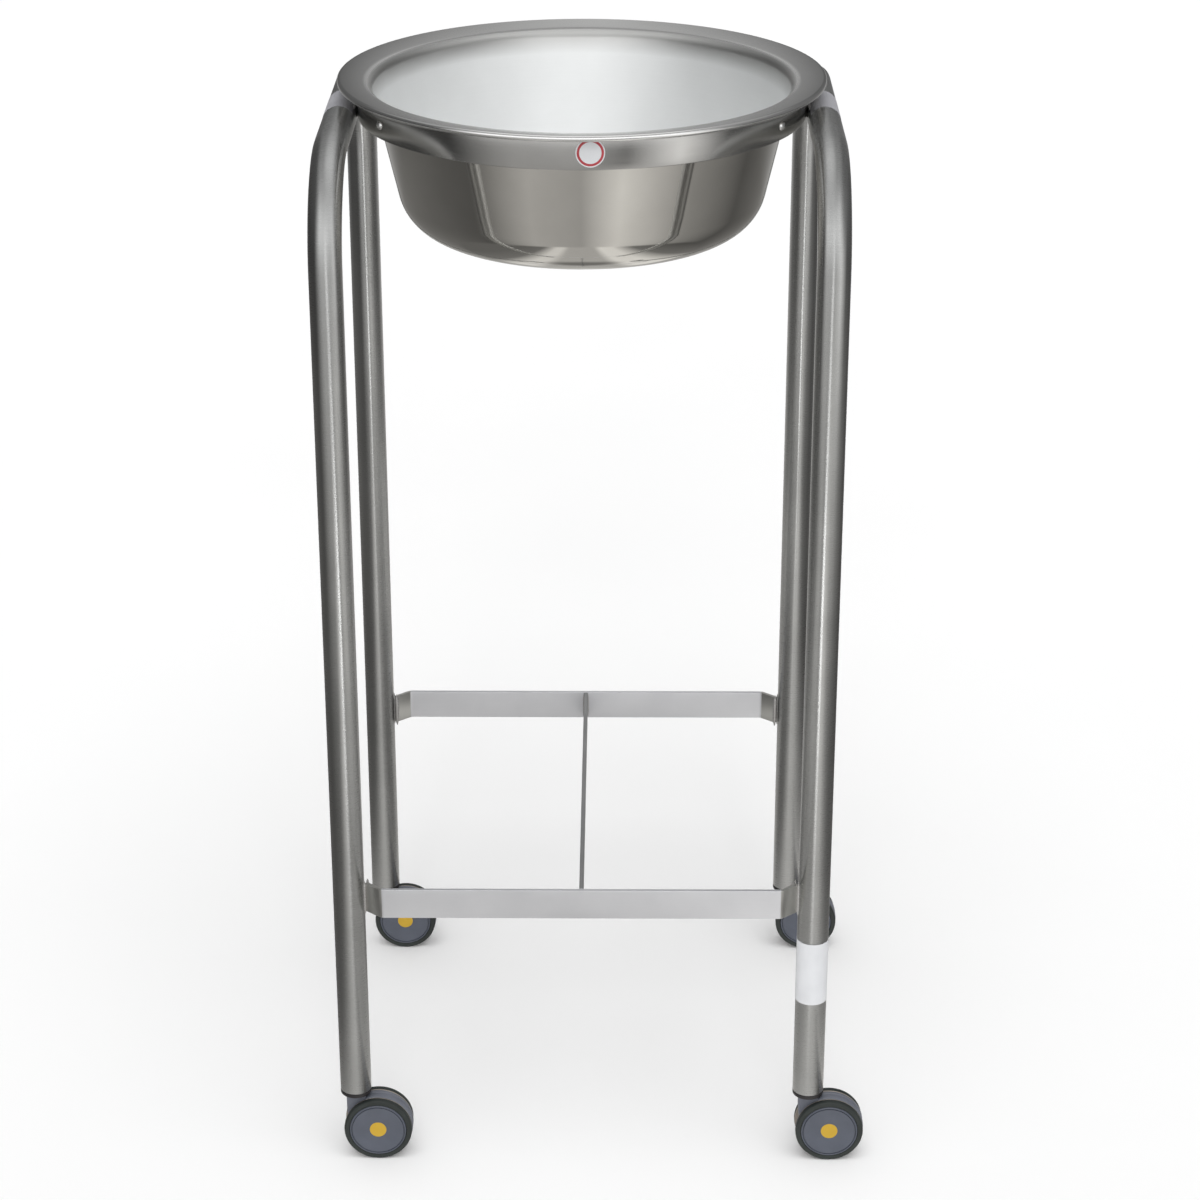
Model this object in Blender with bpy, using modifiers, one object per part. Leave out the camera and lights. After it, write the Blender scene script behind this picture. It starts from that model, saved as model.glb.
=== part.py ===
"""Single basin stand: two bent-tube side frames, a band ring, a lift-out basin and four twin-wheel casters.

Metres, +Z up. The origin is on the floor, below the middle of the basin. The front is towards -Y.
"""

import math

import bmesh
import bpy
from mathutils import Vector

# Fits
SEAT_GAP = 0.0003
RUNNING_GAP = 0.0005

# Side frames
TUBE_OD = 0.0254
TUBE_WALL = 0.00165
LEG_SPACING_X = 0.374
LEG_SPACING_Y = 0.348
TOP_RUN_Z = 0.840
BEND_RADIUS = 0.076
BEND_SEGMENTS = 6
TUBE_BEVEL_RESOLUTION = 6

# Basin ring: a flat band on edge
RING_HEIGHT = 0.0254
RING_THICKNESS = 0.0032
RING_EDGE = 0.0006
RING_RISE = 0.0025
RING_STEPS = 48

# Ring rivets and the bumpers that they hold, as angles from +X
RIVET_ANGLES = {"front_left": 210.0, "front_right": 330.0, "rear": 90.0}
RIVET_RISE = 0.0105
RIVET_HEAD_D = 0.0072
RIVET_HEAD_HEIGHT = 0.0022
RIVET_SHANK_D = 0.0040
BUMPER_D = 0.012
BUMPER_LENGTH = 0.007
BUMPER_CLEARANCE = 0.0010

# Basin: its diameters follow from the ring and the bumpers
BASIN_DEPTH = 0.1237
BASIN_SHEET = 0.0012
BASIN_CORNER_R = 0.040
BASIN_CORNER_SEGMENTS = 5
BASIN_TAPER = math.radians(13.0)
BASIN_NECK_R = 0.009
BASIN_NECK_SEGMENTS = 4
FLANGE_OVERHANG = 0.01505
FLANGE_SLOPE = math.radians(9.0)
ROLLED_EDGE_D = 0.0056
ROLLED_EDGE_TURN = math.radians(205.0)
ROLLED_EDGE_SEGMENTS = 5
BASIN_STEPS = 36

# Crossbars and centre brace: flat bar on edge
BAR_HEIGHT = 0.0254
BAR_THICKNESS = 0.0032
BAR_LOW_Z = 0.2296
BAR_STANDOFF = 0.011
BAR_SET_BACK_X = 0.027
BAR_BEND_R = 0.006
BRACE_THICKNESS = 0.0032
BRACE_HEIGHT = 0.0254

# Casters
WHEEL_D = 0.056
WHEEL_WIDTH = 0.0065
HUB_D = 0.047
HUB_RING_WIDTH = 0.0012
HUB_RING_INSET = 0.0018
HUB_RING_HEIGHT = 0.0005
HUB_WEB = 0.0018
WHEEL_STEPS = 24
CASTER_TRAIL = 0.018
HOOD_WIDTH = 0.011
HOOD_NECK_D = 0.0155
HOOD_TOE_INSET = 0.0025
HOOD_EDGE = 0.0006
HOOD_ARC_START = math.radians(-35.0)
HOOD_ARC_SEGMENTS = 9
HOOD_TOE_Z = 0.020
COLLAR_D = 0.0175
COLLAR_HEIGHT = 0.0020
AXLE_D = 0.006
SOCKET_FLANGE_HEIGHT = 0.0036
SOCKET_SPIGOT_LENGTH = 0.036
SOCKET_EDGE = 0.0005
SOCKET_STEPS = 16
STEM_D = 0.006
STEM_HOOD_DEPTH = 0.014
STEM_LENGTH = 0.044
STEM_GROOVE_DEPTH = 0.0010
STEM_GROOVE_DROP = 0.006
GRIP_RING_WIDTH = 0.0022
GRIP_RING_GAP = 0.0012
PIN_STEPS = 12

# Sizes that follow from those above
TUBE_R = TUBE_OD / 2
TUBE_BORE_R = TUBE_R - TUBE_WALL
LEG_X = LEG_SPACING_X / 2
LEG_Y = LEG_SPACING_Y / 2
WHEEL_R = WHEEL_D / 2
HUB_R = HUB_D / 2
HOOD_TOP_Z = WHEEL_D + RUNNING_GAP + COLLAR_HEIGHT
SOCKET_LOW_Z = HOOD_TOP_Z + RUNNING_GAP
LEG_END_Z = SOCKET_LOW_Z + SOCKET_FLANGE_HEIGHT + SEAT_GAP
RING_LOW_Z = TOP_RUN_Z + RING_RISE
RING_TOP_Z = RING_LOW_Z + RING_HEIGHT
RING_OUTER_R = LEG_X - math.sqrt(TUBE_R**2 - RING_RISE**2) - SEAT_GAP
RING_INNER_R = RING_OUTER_R - RING_THICKNESS
RIVET_Z = RING_LOW_Z + RIVET_RISE
BUMPER_SEAT_R = math.sqrt(RING_INNER_R**2 - BUMPER_D**2 / 4) * math.cos(math.pi / RING_STEPS) - SEAT_GAP
BASIN_RIM_R = RING_OUTER_R + FLANGE_OVERHANG
BAR_Y = LEG_Y + BAR_STANDOFF
BAR_MID_Z = BAR_LOW_Z + BAR_HEIGHT / 2
STEM_LOW_Z = HOOD_TOP_Z - STEM_HOOD_DEPTH
STEM_TOP_Z = STEM_LOW_Z + STEM_LENGTH
STEM_GROOVE_Z = STEM_TOP_Z - STEM_GROOVE_DROP

CORNERS = {
    "front_left": (-LEG_X, -LEG_Y),
    "front_right": (LEG_X, -LEG_Y),
    "rear_left": (-LEG_X, LEG_Y),
    "rear_right": (LEG_X, LEG_Y),
}

for old in list(bpy.data.objects):
    bpy.data.objects.remove(old, do_unlink=True)
PARTS = bpy.data.collections.new("basin_stand")
CUTTERS = bpy.data.collections.new("basin_stand_cutters")
bpy.context.scene.collection.children.link(PARTS)
bpy.context.scene.collection.children.link(CUTTERS)


def material(name, colour, roughness, metallic):
    made = bpy.data.materials.new(name)
    made.use_nodes = True
    shader = made.node_tree.nodes["Principled BSDF"]
    shader.inputs["Base Color"].default_value = (*colour, 1.0)
    shader.inputs["Roughness"].default_value = roughness
    shader.inputs["Metallic"].default_value = metallic
    return made


BRUSHED_TUBE = material("brushed_tube", (0.50, 0.49, 0.47), 0.30, 1.0)
POLISHED_SHEET = material("polished_sheet", (0.62, 0.60, 0.57), 0.18, 1.0)
SATIN_BAR = material("satin_bar", (0.66, 0.66, 0.67), 0.42, 1.0)
PLATED_STEEL = material("plated_steel", (0.70, 0.70, 0.70), 0.25, 1.0)
BLACK_PLASTIC = material("black_plastic", (0.02, 0.02, 0.02), 0.45, 0.0)
GREY_PLASTIC = material("grey_plastic", (0.13, 0.15, 0.19), 0.42, 0.0)
DARK_TYRE = material("dark_tyre", (0.03, 0.04, 0.04), 0.60, 0.0)
PALE_RUBBER = material("pale_rubber", (0.70, 0.70, 0.68), 0.60, 0.0)


def add(name, mesh, finish, place=(0, 0, 0), turn=(0, 0, 0), parent=None, smooth=True):
    """A named part with its material, at a place and turn under its parent."""
    part = bpy.data.objects.new(name, mesh)
    PARTS.objects.link(part)
    part.location = place
    part.rotation_euler = turn
    part.parent = parent
    mesh.materials.append(finish)
    if smooth:
        mesh.shade_smooth()
        mesh.set_sharp_from_angle(angle=math.radians(35))
    return part


def axis_empty(name, place):
    empty = bpy.data.objects.new(name, None)
    empty.empty_display_size = 0.03
    PARTS.objects.link(empty)
    empty.location = place
    return empty


def line_mesh(name, points, closed=False):
    """The points joined by edges, for a modifier or an extrusion to make solid."""
    mesh = bpy.data.meshes.new(name)
    edges = [(i, i + 1) for i in range(len(points) - 1)]
    if closed:
        edges.append((len(points) - 1, 0))
    mesh.from_pydata(points, edges, [])
    return mesh


def turn_profile(part, steps):
    """Turns the part's profile about its own Z axis."""
    screw = part.modifiers.new("turn", "SCREW")
    screw.steps = steps
    screw.render_steps = steps
    screw.use_merge_vertices = True
    screw.merge_threshold = 0.00001
    screw.use_smooth_shade = True


def turned(name, profile, steps, finish, phase=0.0, **placing):
    """A turned piece from (radius, height) points: down the outer side, then back up the inside."""
    points = [(r * math.cos(phase), r * math.sin(phase), z) for r, z in profile]
    on_axis = profile[0][0] == 0 and profile[-1][0] == 0
    part = add(name, line_mesh(name, points, closed=not on_axis), finish, smooth=False, **placing)
    turn_profile(part, steps)
    return part


def arc(centre, radius, start, end, segments):
    """Points of an arc in a plane, both ends included."""
    points = []
    for i in range(segments + 1):
        angle = start + (end - start) * i / segments
        points.append((centre[0] + radius * math.cos(angle), centre[1] + radius * math.sin(angle)))
    return points


def mesh_of(part):
    """The part's shape with its modifiers, welded, as a new mesh."""
    bpy.context.view_layer.update()
    graph = bpy.context.evaluated_depsgraph_get()
    mesh = bpy.data.meshes.new_from_object(part.evaluated_get(graph))
    shape = bmesh.new()
    shape.from_mesh(mesh)
    bmesh.ops.remove_doubles(shape, verts=shape.verts, dist=0.000001)
    bmesh.ops.recalc_face_normals(shape, faces=shape.faces)
    shape.to_mesh(mesh)
    shape.free()
    return mesh


def cylinder_tool(name, radius, depth, place, turn=(0, 0, 0), sides=PIN_STEPS, parent=None):
    """A cylinder that cuts or joins another part and isn't a part itself."""
    mesh = bpy.data.meshes.new(name)
    shape = bmesh.new()
    bmesh.ops.create_cone(
        shape, cap_ends=True, segments=sides, radius1=radius, radius2=radius, depth=depth
    )
    shape.to_mesh(mesh)
    shape.free()
    tool = bpy.data.objects.new(name, mesh)
    CUTTERS.objects.link(tool)
    tool.location = place
    tool.rotation_euler = turn
    tool.parent = parent
    tool.hide_render = True
    tool.display_type = "WIRE"
    return tool


def boolean(part, tool, operation):
    modifier = part.modifiers.new(tool.name, "BOOLEAN")
    modifier.operation = operation
    modifier.object = tool


def soften(part, width):
    """A small chamfer on the part's sharp edges."""
    modifier = part.modifiers.new("edge", "BEVEL")
    modifier.width = width
    modifier.segments = 1
    modifier.limit_method = "ANGLE"
    modifier.angle_limit = math.radians(40)


def side_frame(name, x):
    """One tube bent into an upside-down U: front leg, bend, top run, bend, rear leg."""
    low = TOP_RUN_Z - BEND_RADIUS
    inner_y = LEG_Y - BEND_RADIUS
    path = [(-LEG_Y, LEG_END_Z)]
    path += arc((-inner_y, low), BEND_RADIUS, math.pi, math.pi / 2, BEND_SEGMENTS)
    path += arc((inner_y, low), BEND_RADIUS, math.pi / 2, 0, BEND_SEGMENTS)
    path += [(LEG_Y, LEG_END_Z)]
    curve = bpy.data.curves.new(name + "_path", "CURVE")
    curve.dimensions = "3D"
    spline = curve.splines.new("POLY")
    spline.points.add(len(path) - 1)
    for point, (y, z) in zip(spline.points, path):
        point.co = (0, y, z, 1)
    curve.bevel_depth = TUBE_R
    curve.bevel_resolution = TUBE_BEVEL_RESOLUTION
    guide = bpy.data.objects.new(name + "_path", curve)
    CUTTERS.objects.link(guide)
    frame = add(name, mesh_of(guide), BRUSHED_TUBE, place=(x, 0, 0))
    bpy.data.objects.remove(guide)
    wall = frame.modifiers.new("wall", "SOLIDIFY")
    wall.thickness = TUBE_WALL
    wall.offset = -1
    wall.use_even_offset = True
    return frame


def basin_ring():
    """The band, with its edges broken and a hole for each rivet."""
    top = RING_TOP_Z
    low = RING_LOW_Z
    profile = [
        (RING_OUTER_R - RING_EDGE, top),
        (RING_OUTER_R, top - RING_EDGE),
        (RING_OUTER_R, low + RING_EDGE),
        (RING_OUTER_R - RING_EDGE, low),
        (RING_INNER_R, low),
        (RING_INNER_R, top),
    ]
    ring = turned("basin_ring", profile, RING_STEPS, BRUSHED_TUBE)
    for label, degrees in RIVET_ANGLES.items():
        angle = math.radians(degrees)
        middle = RING_OUTER_R - RING_THICKNESS / 2
        hole = cylinder_tool(
            "rivet_hole_" + label,
            RIVET_SHANK_D / 2 + SEAT_GAP,
            3 * RING_THICKNESS,
            (middle * math.cos(angle), middle * math.sin(angle), RIVET_Z),
            (0, math.pi / 2, angle),
        )
        boolean(ring, hole, "DIFFERENCE")
    return ring


def basin_edge():
    """The rolled edge's centre and the flange's end there, as (radius, height above the underside)."""
    outer_r = ROLLED_EDGE_D / 2
    centre = Vector((BASIN_RIM_R - outer_r, BASIN_DEPTH - outer_r))
    inner_r = outer_r - BASIN_SHEET
    flange_end = centre + inner_r * Vector((-math.sin(FLANGE_SLOPE), math.cos(FLANGE_SLOPE)))
    return centre, flange_end


def basin_floor_z():
    """The underside of the basin when its flange rests on the ring's inner top edge."""
    _, flange_end = basin_edge()
    seat_height = flange_end.y - (flange_end.x - RING_INNER_R) * math.tan(FLANGE_SLOPE)
    return RING_TOP_Z + SEAT_GAP - seat_height


def basin_floor_radius():
    """The flat floor's radius that leaves the conical wall clear of the bumpers."""
    wall_r = BUMPER_SEAT_R - BUMPER_LENGTH - BUMPER_CLEARANCE
    bumper_top = RIVET_Z + BUMPER_D / 2 - basin_floor_z()
    corner_top = BASIN_CORNER_R * (1 - math.sin(BASIN_TAPER))
    corner_reach = BASIN_CORNER_R * math.cos(BASIN_TAPER)
    return wall_r - (bumper_top - corner_top) * math.tan(BASIN_TAPER) - corner_reach


def basin_profile():
    """(radius, height) along the outside of the sheet, from the floor's middle to the rolled edge."""
    curl_centre, flange_end = basin_edge()
    flange_way = Vector((math.cos(FLANGE_SLOPE), math.sin(FLANGE_SLOPE)))
    wall_way = Vector((math.sin(BASIN_TAPER), math.cos(BASIN_TAPER)))
    wall_out = Vector((wall_way.y, -wall_way.x))
    corner_centre = Vector((basin_floor_radius(), BASIN_CORNER_R))
    wall_start = corner_centre + BASIN_CORNER_R * wall_out
    reach = flange_end - wall_start
    meeting = wall_start + wall_way * reach.cross(flange_way) / wall_way.cross(flange_way)
    neck_turn = math.pi / 2 - BASIN_TAPER - FLANGE_SLOPE
    neck_start = meeting - wall_way * BASIN_NECK_R * math.tan(neck_turn / 2)
    neck_centre = neck_start + BASIN_NECK_R * wall_out
    flange_normal = math.pi / 2 + FLANGE_SLOPE
    profile = [(0.0, 0.0)]
    profile += arc(corner_centre, BASIN_CORNER_R, -math.pi / 2, -BASIN_TAPER, BASIN_CORNER_SEGMENTS)
    profile += arc(neck_centre, BASIN_NECK_R, math.pi - BASIN_TAPER, flange_normal, BASIN_NECK_SEGMENTS)
    curl_r = ROLLED_EDGE_D / 2 - BASIN_SHEET
    curl_end = flange_normal - ROLLED_EDGE_TURN
    profile += arc(curl_centre, curl_r, flange_normal, curl_end, ROLLED_EDGE_SEGMENTS)
    return profile


def basin():
    """A drawn sheet: flat floor, round corner, conical wall, flange and rolled edge."""
    points = [(r, 0.0, z) for r, z in reversed(basin_profile())]
    bowl = add(
        "basin", line_mesh("basin", points), POLISHED_SHEET, place=(0, 0, basin_floor_z()), smooth=False
    )
    turn_profile(bowl, BASIN_STEPS)
    sheet = bowl.modifiers.new("sheet", "SOLIDIFY")
    sheet.thickness = BASIN_SHEET
    sheet.offset = -1
    sheet.use_even_offset = True
    return bowl


def rivet_and_bumper(label, angle):
    """A domed rivet through the ring, and the bumper behind it that faces the basin's wall."""
    outwards = Vector((math.cos(angle), math.sin(angle), 0))
    level = Vector((0, 0, RIVET_Z))
    turn = (0, math.pi / 2, angle)
    head_r = RIVET_HEAD_D / 2
    shank_r = RIVET_SHANK_D / 2
    dome_r = (head_r**2 + RIVET_HEAD_HEIGHT**2) / (2 * RIVET_HEAD_HEIGHT)
    dome_edge = math.acos(head_r / dome_r)
    dome = arc((0, RIVET_HEAD_HEIGHT - dome_r), dome_r, math.pi / 2, dome_edge, 4)
    dome[0] = (0.0, RIVET_HEAD_HEIGHT)
    tail = BUMPER_SEAT_R - BUMPER_LENGTH / 2 - RING_OUTER_R
    profile = dome + [(shank_r, 0.0), (shank_r, tail), (0.0, tail)]
    place = level + (RING_OUTER_R + SEAT_GAP) * outwards
    turned("ring_rivet_" + label, profile, PIN_STEPS, PLATED_STEEL, place=place, turn=turn)
    bumper_r = BUMPER_D / 2
    bore_r = shank_r + SEAT_GAP
    round_off = BUMPER_LENGTH / 4
    profile = [
        (bore_r, 0.0),
        (bumper_r, 0.0),
        (bumper_r, round_off - BUMPER_LENGTH),
        (bumper_r - round_off, -BUMPER_LENGTH),
        (0.0, -BUMPER_LENGTH),
        (0.0, -BUMPER_LENGTH / 2),
        (bore_r, -BUMPER_LENGTH / 2),
    ]
    place = level + BUMPER_SEAT_R * outwards
    turned("ring_bumper_" + label, profile, PIN_STEPS, PALE_RUBBER, place=place, turn=turn)


def crossbar(name, side):
    """A flat bar across the stand at side -1 (front) or +1 (rear), its ends set back to the legs."""
    bend = Vector((LEG_X - BAR_SET_BACK_X, BAR_Y))
    leg_side = LEG_X - TUBE_R - SEAT_GAP
    slope = math.atan2(BAR_STANDOFF, leg_side - bend.x)
    end = Vector((leg_side - math.sin(slope) * BAR_THICKNESS / 2, LEG_Y))
    turn = math.atan2(BAR_STANDOFF, end.x - bend.x)
    cut_back = BAR_BEND_R * math.tan(turn / 2)
    start = Vector((bend.x - cut_back, BAR_Y))
    half = [(end.x, end.y)]
    half += reversed(arc((start.x, BAR_Y - BAR_BEND_R), BAR_BEND_R, math.pi / 2, math.pi / 2 - turn, 3))
    path = half + [(-x, y) for x, y in reversed(half)]
    mesh = bpy.data.meshes.new(name)
    shape = bmesh.new()
    row = [shape.verts.new((x, side * y, 0)) for x, y in path]
    edges = [shape.edges.new(pair) for pair in zip(row, row[1:])]
    raised = bmesh.ops.extrude_edge_only(shape, edges=edges)["geom"]
    upper = [item for item in raised if isinstance(item, bmesh.types.BMVert)]
    bmesh.ops.translate(shape, verts=upper, vec=(0, 0, BAR_HEIGHT))
    bmesh.ops.recalc_face_normals(shape, faces=shape.faces)
    shape.to_mesh(mesh)
    shape.free()
    bar = add(name, mesh, SATIN_BAR, place=(0, 0, BAR_LOW_Z), smooth=False)
    wall = bar.modifiers.new("thickness", "SOLIDIFY")
    wall.thickness = BAR_THICKNESS
    wall.offset = 0
    wall.use_even_offset = True
    return bar


def centre_brace():
    """A thin flat bar on edge between the crossbars."""
    length = 2 * (BAR_Y - BAR_THICKNESS / 2 - SEAT_GAP)
    mesh = bpy.data.meshes.new("centre_brace")
    shape = bmesh.new()
    made = bmesh.ops.create_cube(shape, size=1)
    bmesh.ops.scale(shape, vec=(BRACE_THICKNESS, length, BRACE_HEIGHT), verts=made["verts"])
    shape.to_mesh(mesh)
    shape.free()
    brace = add("centre_brace", mesh, SATIN_BAR, place=(0, 0, BAR_MID_Z), smooth=False)
    soften(brace, BRACE_THICKNESS / 8)
    return brace


def hood_outline():
    """(x, z) points of the hood's side: a neck on the stem's axis and a round back over the axle."""
    neck_r = HOOD_NECK_D / 2
    back_r = WHEEL_R + RUNNING_GAP
    meet = math.acos((neck_r - CASTER_TRAIL) / back_r)
    outline = [(-neck_r, HOOD_TOP_Z), (HOOD_TOE_INSET - neck_r, HOOD_TOE_Z)]
    outline += arc((CASTER_TRAIL, WHEEL_R), back_r, HOOD_ARC_START, meet, HOOD_ARC_SEGMENTS)
    outline += [(neck_r, HOOD_TOP_Z)]
    return outline


def hood(name, parent):
    """The caster's body between its wheels, with a round swivel collar and bores for stem and axle."""
    curve = bpy.data.curves.new(name + "_side", "CURVE")
    curve.dimensions = "2D"
    curve.fill_mode = "BOTH"
    curve.extrude = HOOD_WIDTH / 2
    spline = curve.splines.new("POLY")
    outline = hood_outline()
    spline.points.add(len(outline) - 1)
    for point, (x, z) in zip(spline.points, outline):
        point.co = (x, z, 0, 1)
    spline.use_cyclic_u = True
    guide = bpy.data.objects.new(name + "_side", curve)
    CUTTERS.objects.link(guide)
    body = add(name, mesh_of(guide), GREY_PLASTIC, turn=(math.pi / 2, 0, 0), parent=parent)
    bpy.data.objects.remove(guide)
    soften(body, HOOD_EDGE)
    collar_z = HOOD_TOP_Z - COLLAR_HEIGHT / 2
    collar = cylinder_tool(
        name + "_collar", COLLAR_D / 2, COLLAR_HEIGHT, (0, 0, collar_z), sides=SOCKET_STEPS, parent=parent
    )
    boolean(body, collar, "UNION")
    bore_low = STEM_LOW_Z - SEAT_GAP
    bore_top = HOOD_TOP_Z + COLLAR_HEIGHT
    bore = cylinder_tool(
        name + "_stem_bore",
        STEM_D / 2 + RUNNING_GAP,
        bore_top - bore_low,
        (0, 0, (bore_top + bore_low) / 2),
        parent=parent,
    )
    boolean(body, bore, "DIFFERENCE")
    axle_bore = cylinder_tool(
        name + "_axle_bore",
        AXLE_D / 2 + SEAT_GAP,
        2 * HOOD_WIDTH,
        (CASTER_TRAIL, 0, WHEEL_R),
        (math.pi / 2, 0, 0),
        parent=parent,
    )
    boolean(body, axle_bore, "DIFFERENCE")
    return body


def wheel(label, side, parent):
    """A hub disc and its tyre on the axle, at side -1 (towards the front) or +1."""
    inner_y = HOOD_WIDTH / 2 + RUNNING_GAP
    place = (CASTER_TRAIL, side * inner_y, WHEEL_R)
    turn = (-side * math.pi / 2, 0, 0)
    half_step = math.pi / WHEEL_STEPS
    bore_r = AXLE_D / 2 / math.cos(half_step) + RUNNING_GAP / 2
    bore_depth = WHEEL_WIDTH - HUB_WEB
    ring_outer = HUB_R - HUB_RING_INSET
    ring_inner = ring_outer - HUB_RING_WIDTH
    hub_face = WHEEL_WIDTH - HUB_RING_HEIGHT
    hub_profile = [
        (0.0, hub_face),
        (ring_inner, hub_face),
        ((ring_inner + ring_outer) / 2, WHEEL_WIDTH),
        (ring_outer, hub_face),
        (HUB_R, hub_face - HUB_RING_HEIGHT),
        (HUB_R, 0.0),
        (bore_r, 0.0),
        (bore_r, bore_depth),
        (0.0, bore_depth),
    ]
    turned(
        "hub_" + label,
        hub_profile,
        WHEEL_STEPS,
        GREY_PLASTIC,
        phase=half_step,
        place=place,
        turn=turn,
        parent=parent,
    )
    inner_r = HUB_R / math.cos(half_step) + SEAT_GAP
    tread_r = WHEEL_R / math.cos(half_step)
    shoulder = (WHEEL_R - inner_r) * 0.4
    tyre_profile = [
        (inner_r, hub_face),
        (tread_r - shoulder, hub_face),
        (tread_r, hub_face - shoulder),
        (tread_r, shoulder / 2),
        (tread_r - shoulder / 2, 0.0),
        (inner_r, 0.0),
    ]
    turned(
        "tyre_" + label,
        tyre_profile,
        WHEEL_STEPS,
        DARK_TYRE,
        phase=half_step,
        place=place,
        turn=turn,
        parent=parent,
    )


def axle(name, parent):
    reach = HOOD_WIDTH / 2 + RUNNING_GAP + WHEEL_WIDTH - HUB_WEB - RUNNING_GAP
    chamfer = AXLE_D / 10
    radius = AXLE_D / 2
    profile = [
        (0.0, reach),
        (radius - chamfer, reach),
        (radius, reach - chamfer),
        (radius, chamfer - reach),
        (radius - chamfer, -reach),
        (0.0, -reach),
    ]
    place = (CASTER_TRAIL, 0, WHEEL_R)
    turned(name, profile, PIN_STEPS, PLATED_STEEL, place=place, turn=(math.pi / 2, 0, 0), parent=parent)


def socket(name, parent):
    """The plug in the tube's end: a flange under the tube, a spigot inside it and a bore for the stem."""
    flange_top = SOCKET_LOW_Z + SOCKET_FLANGE_HEIGHT
    spigot_top = flange_top + SOCKET_SPIGOT_LENGTH
    spigot_r = TUBE_BORE_R * math.cos(math.pi / (2 * TUBE_BEVEL_RESOLUTION + 4)) - SEAT_GAP
    bore_r = STEM_D / 2 + SEAT_GAP
    profile = [
        (bore_r, spigot_top),
        (spigot_r - SOCKET_EDGE, spigot_top),
        (spigot_r, spigot_top - SOCKET_EDGE),
        (spigot_r, flange_top),
        (TUBE_R, flange_top),
        (TUBE_R, SOCKET_LOW_Z + SOCKET_EDGE),
        (TUBE_R - SOCKET_EDGE, SOCKET_LOW_Z),
        (bore_r, SOCKET_LOW_Z),
    ]
    turned(name, profile, SOCKET_STEPS, BLACK_PLASTIC, parent=parent)


def stem(name, parent):
    """The steel pin that the hood turns on, with a groove for its grip ring."""
    radius = STEM_D / 2
    groove_r = radius - STEM_GROOVE_DEPTH
    groove_half = GRIP_RING_WIDTH / 2 + SEAT_GAP
    tip = radius / 3
    profile = [
        (0.0, STEM_TOP_Z),
        (radius - tip, STEM_TOP_Z),
        (radius, STEM_TOP_Z - tip),
        (radius, STEM_GROOVE_Z + groove_half),
        (groove_r, STEM_GROOVE_Z + groove_half),
        (groove_r, STEM_GROOVE_Z - groove_half),
        (radius, STEM_GROOVE_Z - groove_half),
        (radius, STEM_LOW_Z + tip),
        (radius - tip, STEM_LOW_Z),
        (0.0, STEM_LOW_Z),
    ]
    turned(name, profile, PIN_STEPS, PLATED_STEEL, parent=parent)


def grip_ring(name, parent):
    """The split ring in the stem's groove that holds it in the socket."""
    inner_r = STEM_D / 2 - STEM_GROOVE_DEPTH + SEAT_GAP
    outer_r = STEM_D / 2
    half = GRIP_RING_WIDTH / 2
    profile = [
        (outer_r, STEM_GROOVE_Z + half),
        (outer_r, STEM_GROOVE_Z - half),
        (inner_r, STEM_GROOVE_Z - half),
        (inner_r, STEM_GROOVE_Z + half),
    ]
    ring = turned(name, profile, PIN_STEPS, PLATED_STEEL, parent=parent)
    slit = cylinder_tool(
        name + "_slit",
        GRIP_RING_GAP / 2,
        2 * GRIP_RING_WIDTH,
        ((inner_r + outer_r) / 2, 0, STEM_GROOVE_Z),
        sides=8,
        parent=parent,
    )
    slit.scale.x = 3 * (outer_r - inner_r) / GRIP_RING_GAP
    boolean(ring, slit, "DIFFERENCE")


def caster(label, place):
    """One caster under a leg, with its wheels trailing towards +X."""
    leg_axis = axis_empty("leg_axis_" + label, (*place, 0))
    socket("socket_" + label, leg_axis)
    stem("stem_" + label, leg_axis)
    grip_ring("grip_ring_" + label, leg_axis)
    swivel = axis_empty("swivel_axis_" + label, (*place, 0))
    hood("hood_" + label, swivel)
    axle("axle_" + label, swivel)
    wheel(label + "_near", -1, swivel)
    wheel(label + "_far", 1, swivel)


side_frame("left_side_frame", -LEG_X)
side_frame("right_side_frame", LEG_X)
basin_ring()
basin()
for rivet, rivet_degrees in RIVET_ANGLES.items():
    rivet_and_bumper(rivet, math.radians(rivet_degrees))
crossbar("front_crossbar", -1)
crossbar("rear_crossbar", 1)
centre_brace()
for corner, corner_place in CORNERS.items():
    caster(corner, corner_place)
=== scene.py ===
"""Looks of a wheeled basin stand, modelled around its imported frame. Metres, +Z up."""

import math

import bpy
from mathutils import Matrix, Vector


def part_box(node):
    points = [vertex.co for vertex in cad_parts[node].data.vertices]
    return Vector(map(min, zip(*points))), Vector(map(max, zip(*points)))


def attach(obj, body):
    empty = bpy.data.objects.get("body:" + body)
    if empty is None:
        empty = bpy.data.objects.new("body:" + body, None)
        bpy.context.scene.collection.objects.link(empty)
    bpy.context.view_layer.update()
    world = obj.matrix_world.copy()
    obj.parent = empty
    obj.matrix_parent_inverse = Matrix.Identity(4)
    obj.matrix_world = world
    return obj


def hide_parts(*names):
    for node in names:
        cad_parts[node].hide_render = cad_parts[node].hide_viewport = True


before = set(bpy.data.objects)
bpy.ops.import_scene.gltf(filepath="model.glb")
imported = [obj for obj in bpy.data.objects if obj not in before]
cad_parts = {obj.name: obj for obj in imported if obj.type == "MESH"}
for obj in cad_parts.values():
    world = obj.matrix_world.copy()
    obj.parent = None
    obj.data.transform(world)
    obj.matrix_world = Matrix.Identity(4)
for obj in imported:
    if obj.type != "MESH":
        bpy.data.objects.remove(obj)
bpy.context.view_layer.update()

# Sizes read from the frame.
side_low, side_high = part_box("right_side_frame")
TUBE_R = (side_high.x - side_low.x) / 2
LEG_X = (side_high.x + side_low.x) / 2
LEG_Y = side_high.y - TUBE_R
LEG_END_Z = side_low.z
TOP_RUN_Z = side_high.z - TUBE_R
ring_low, ring_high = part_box("basin_ring")
RING_OUTER_R = ring_high.y
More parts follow.
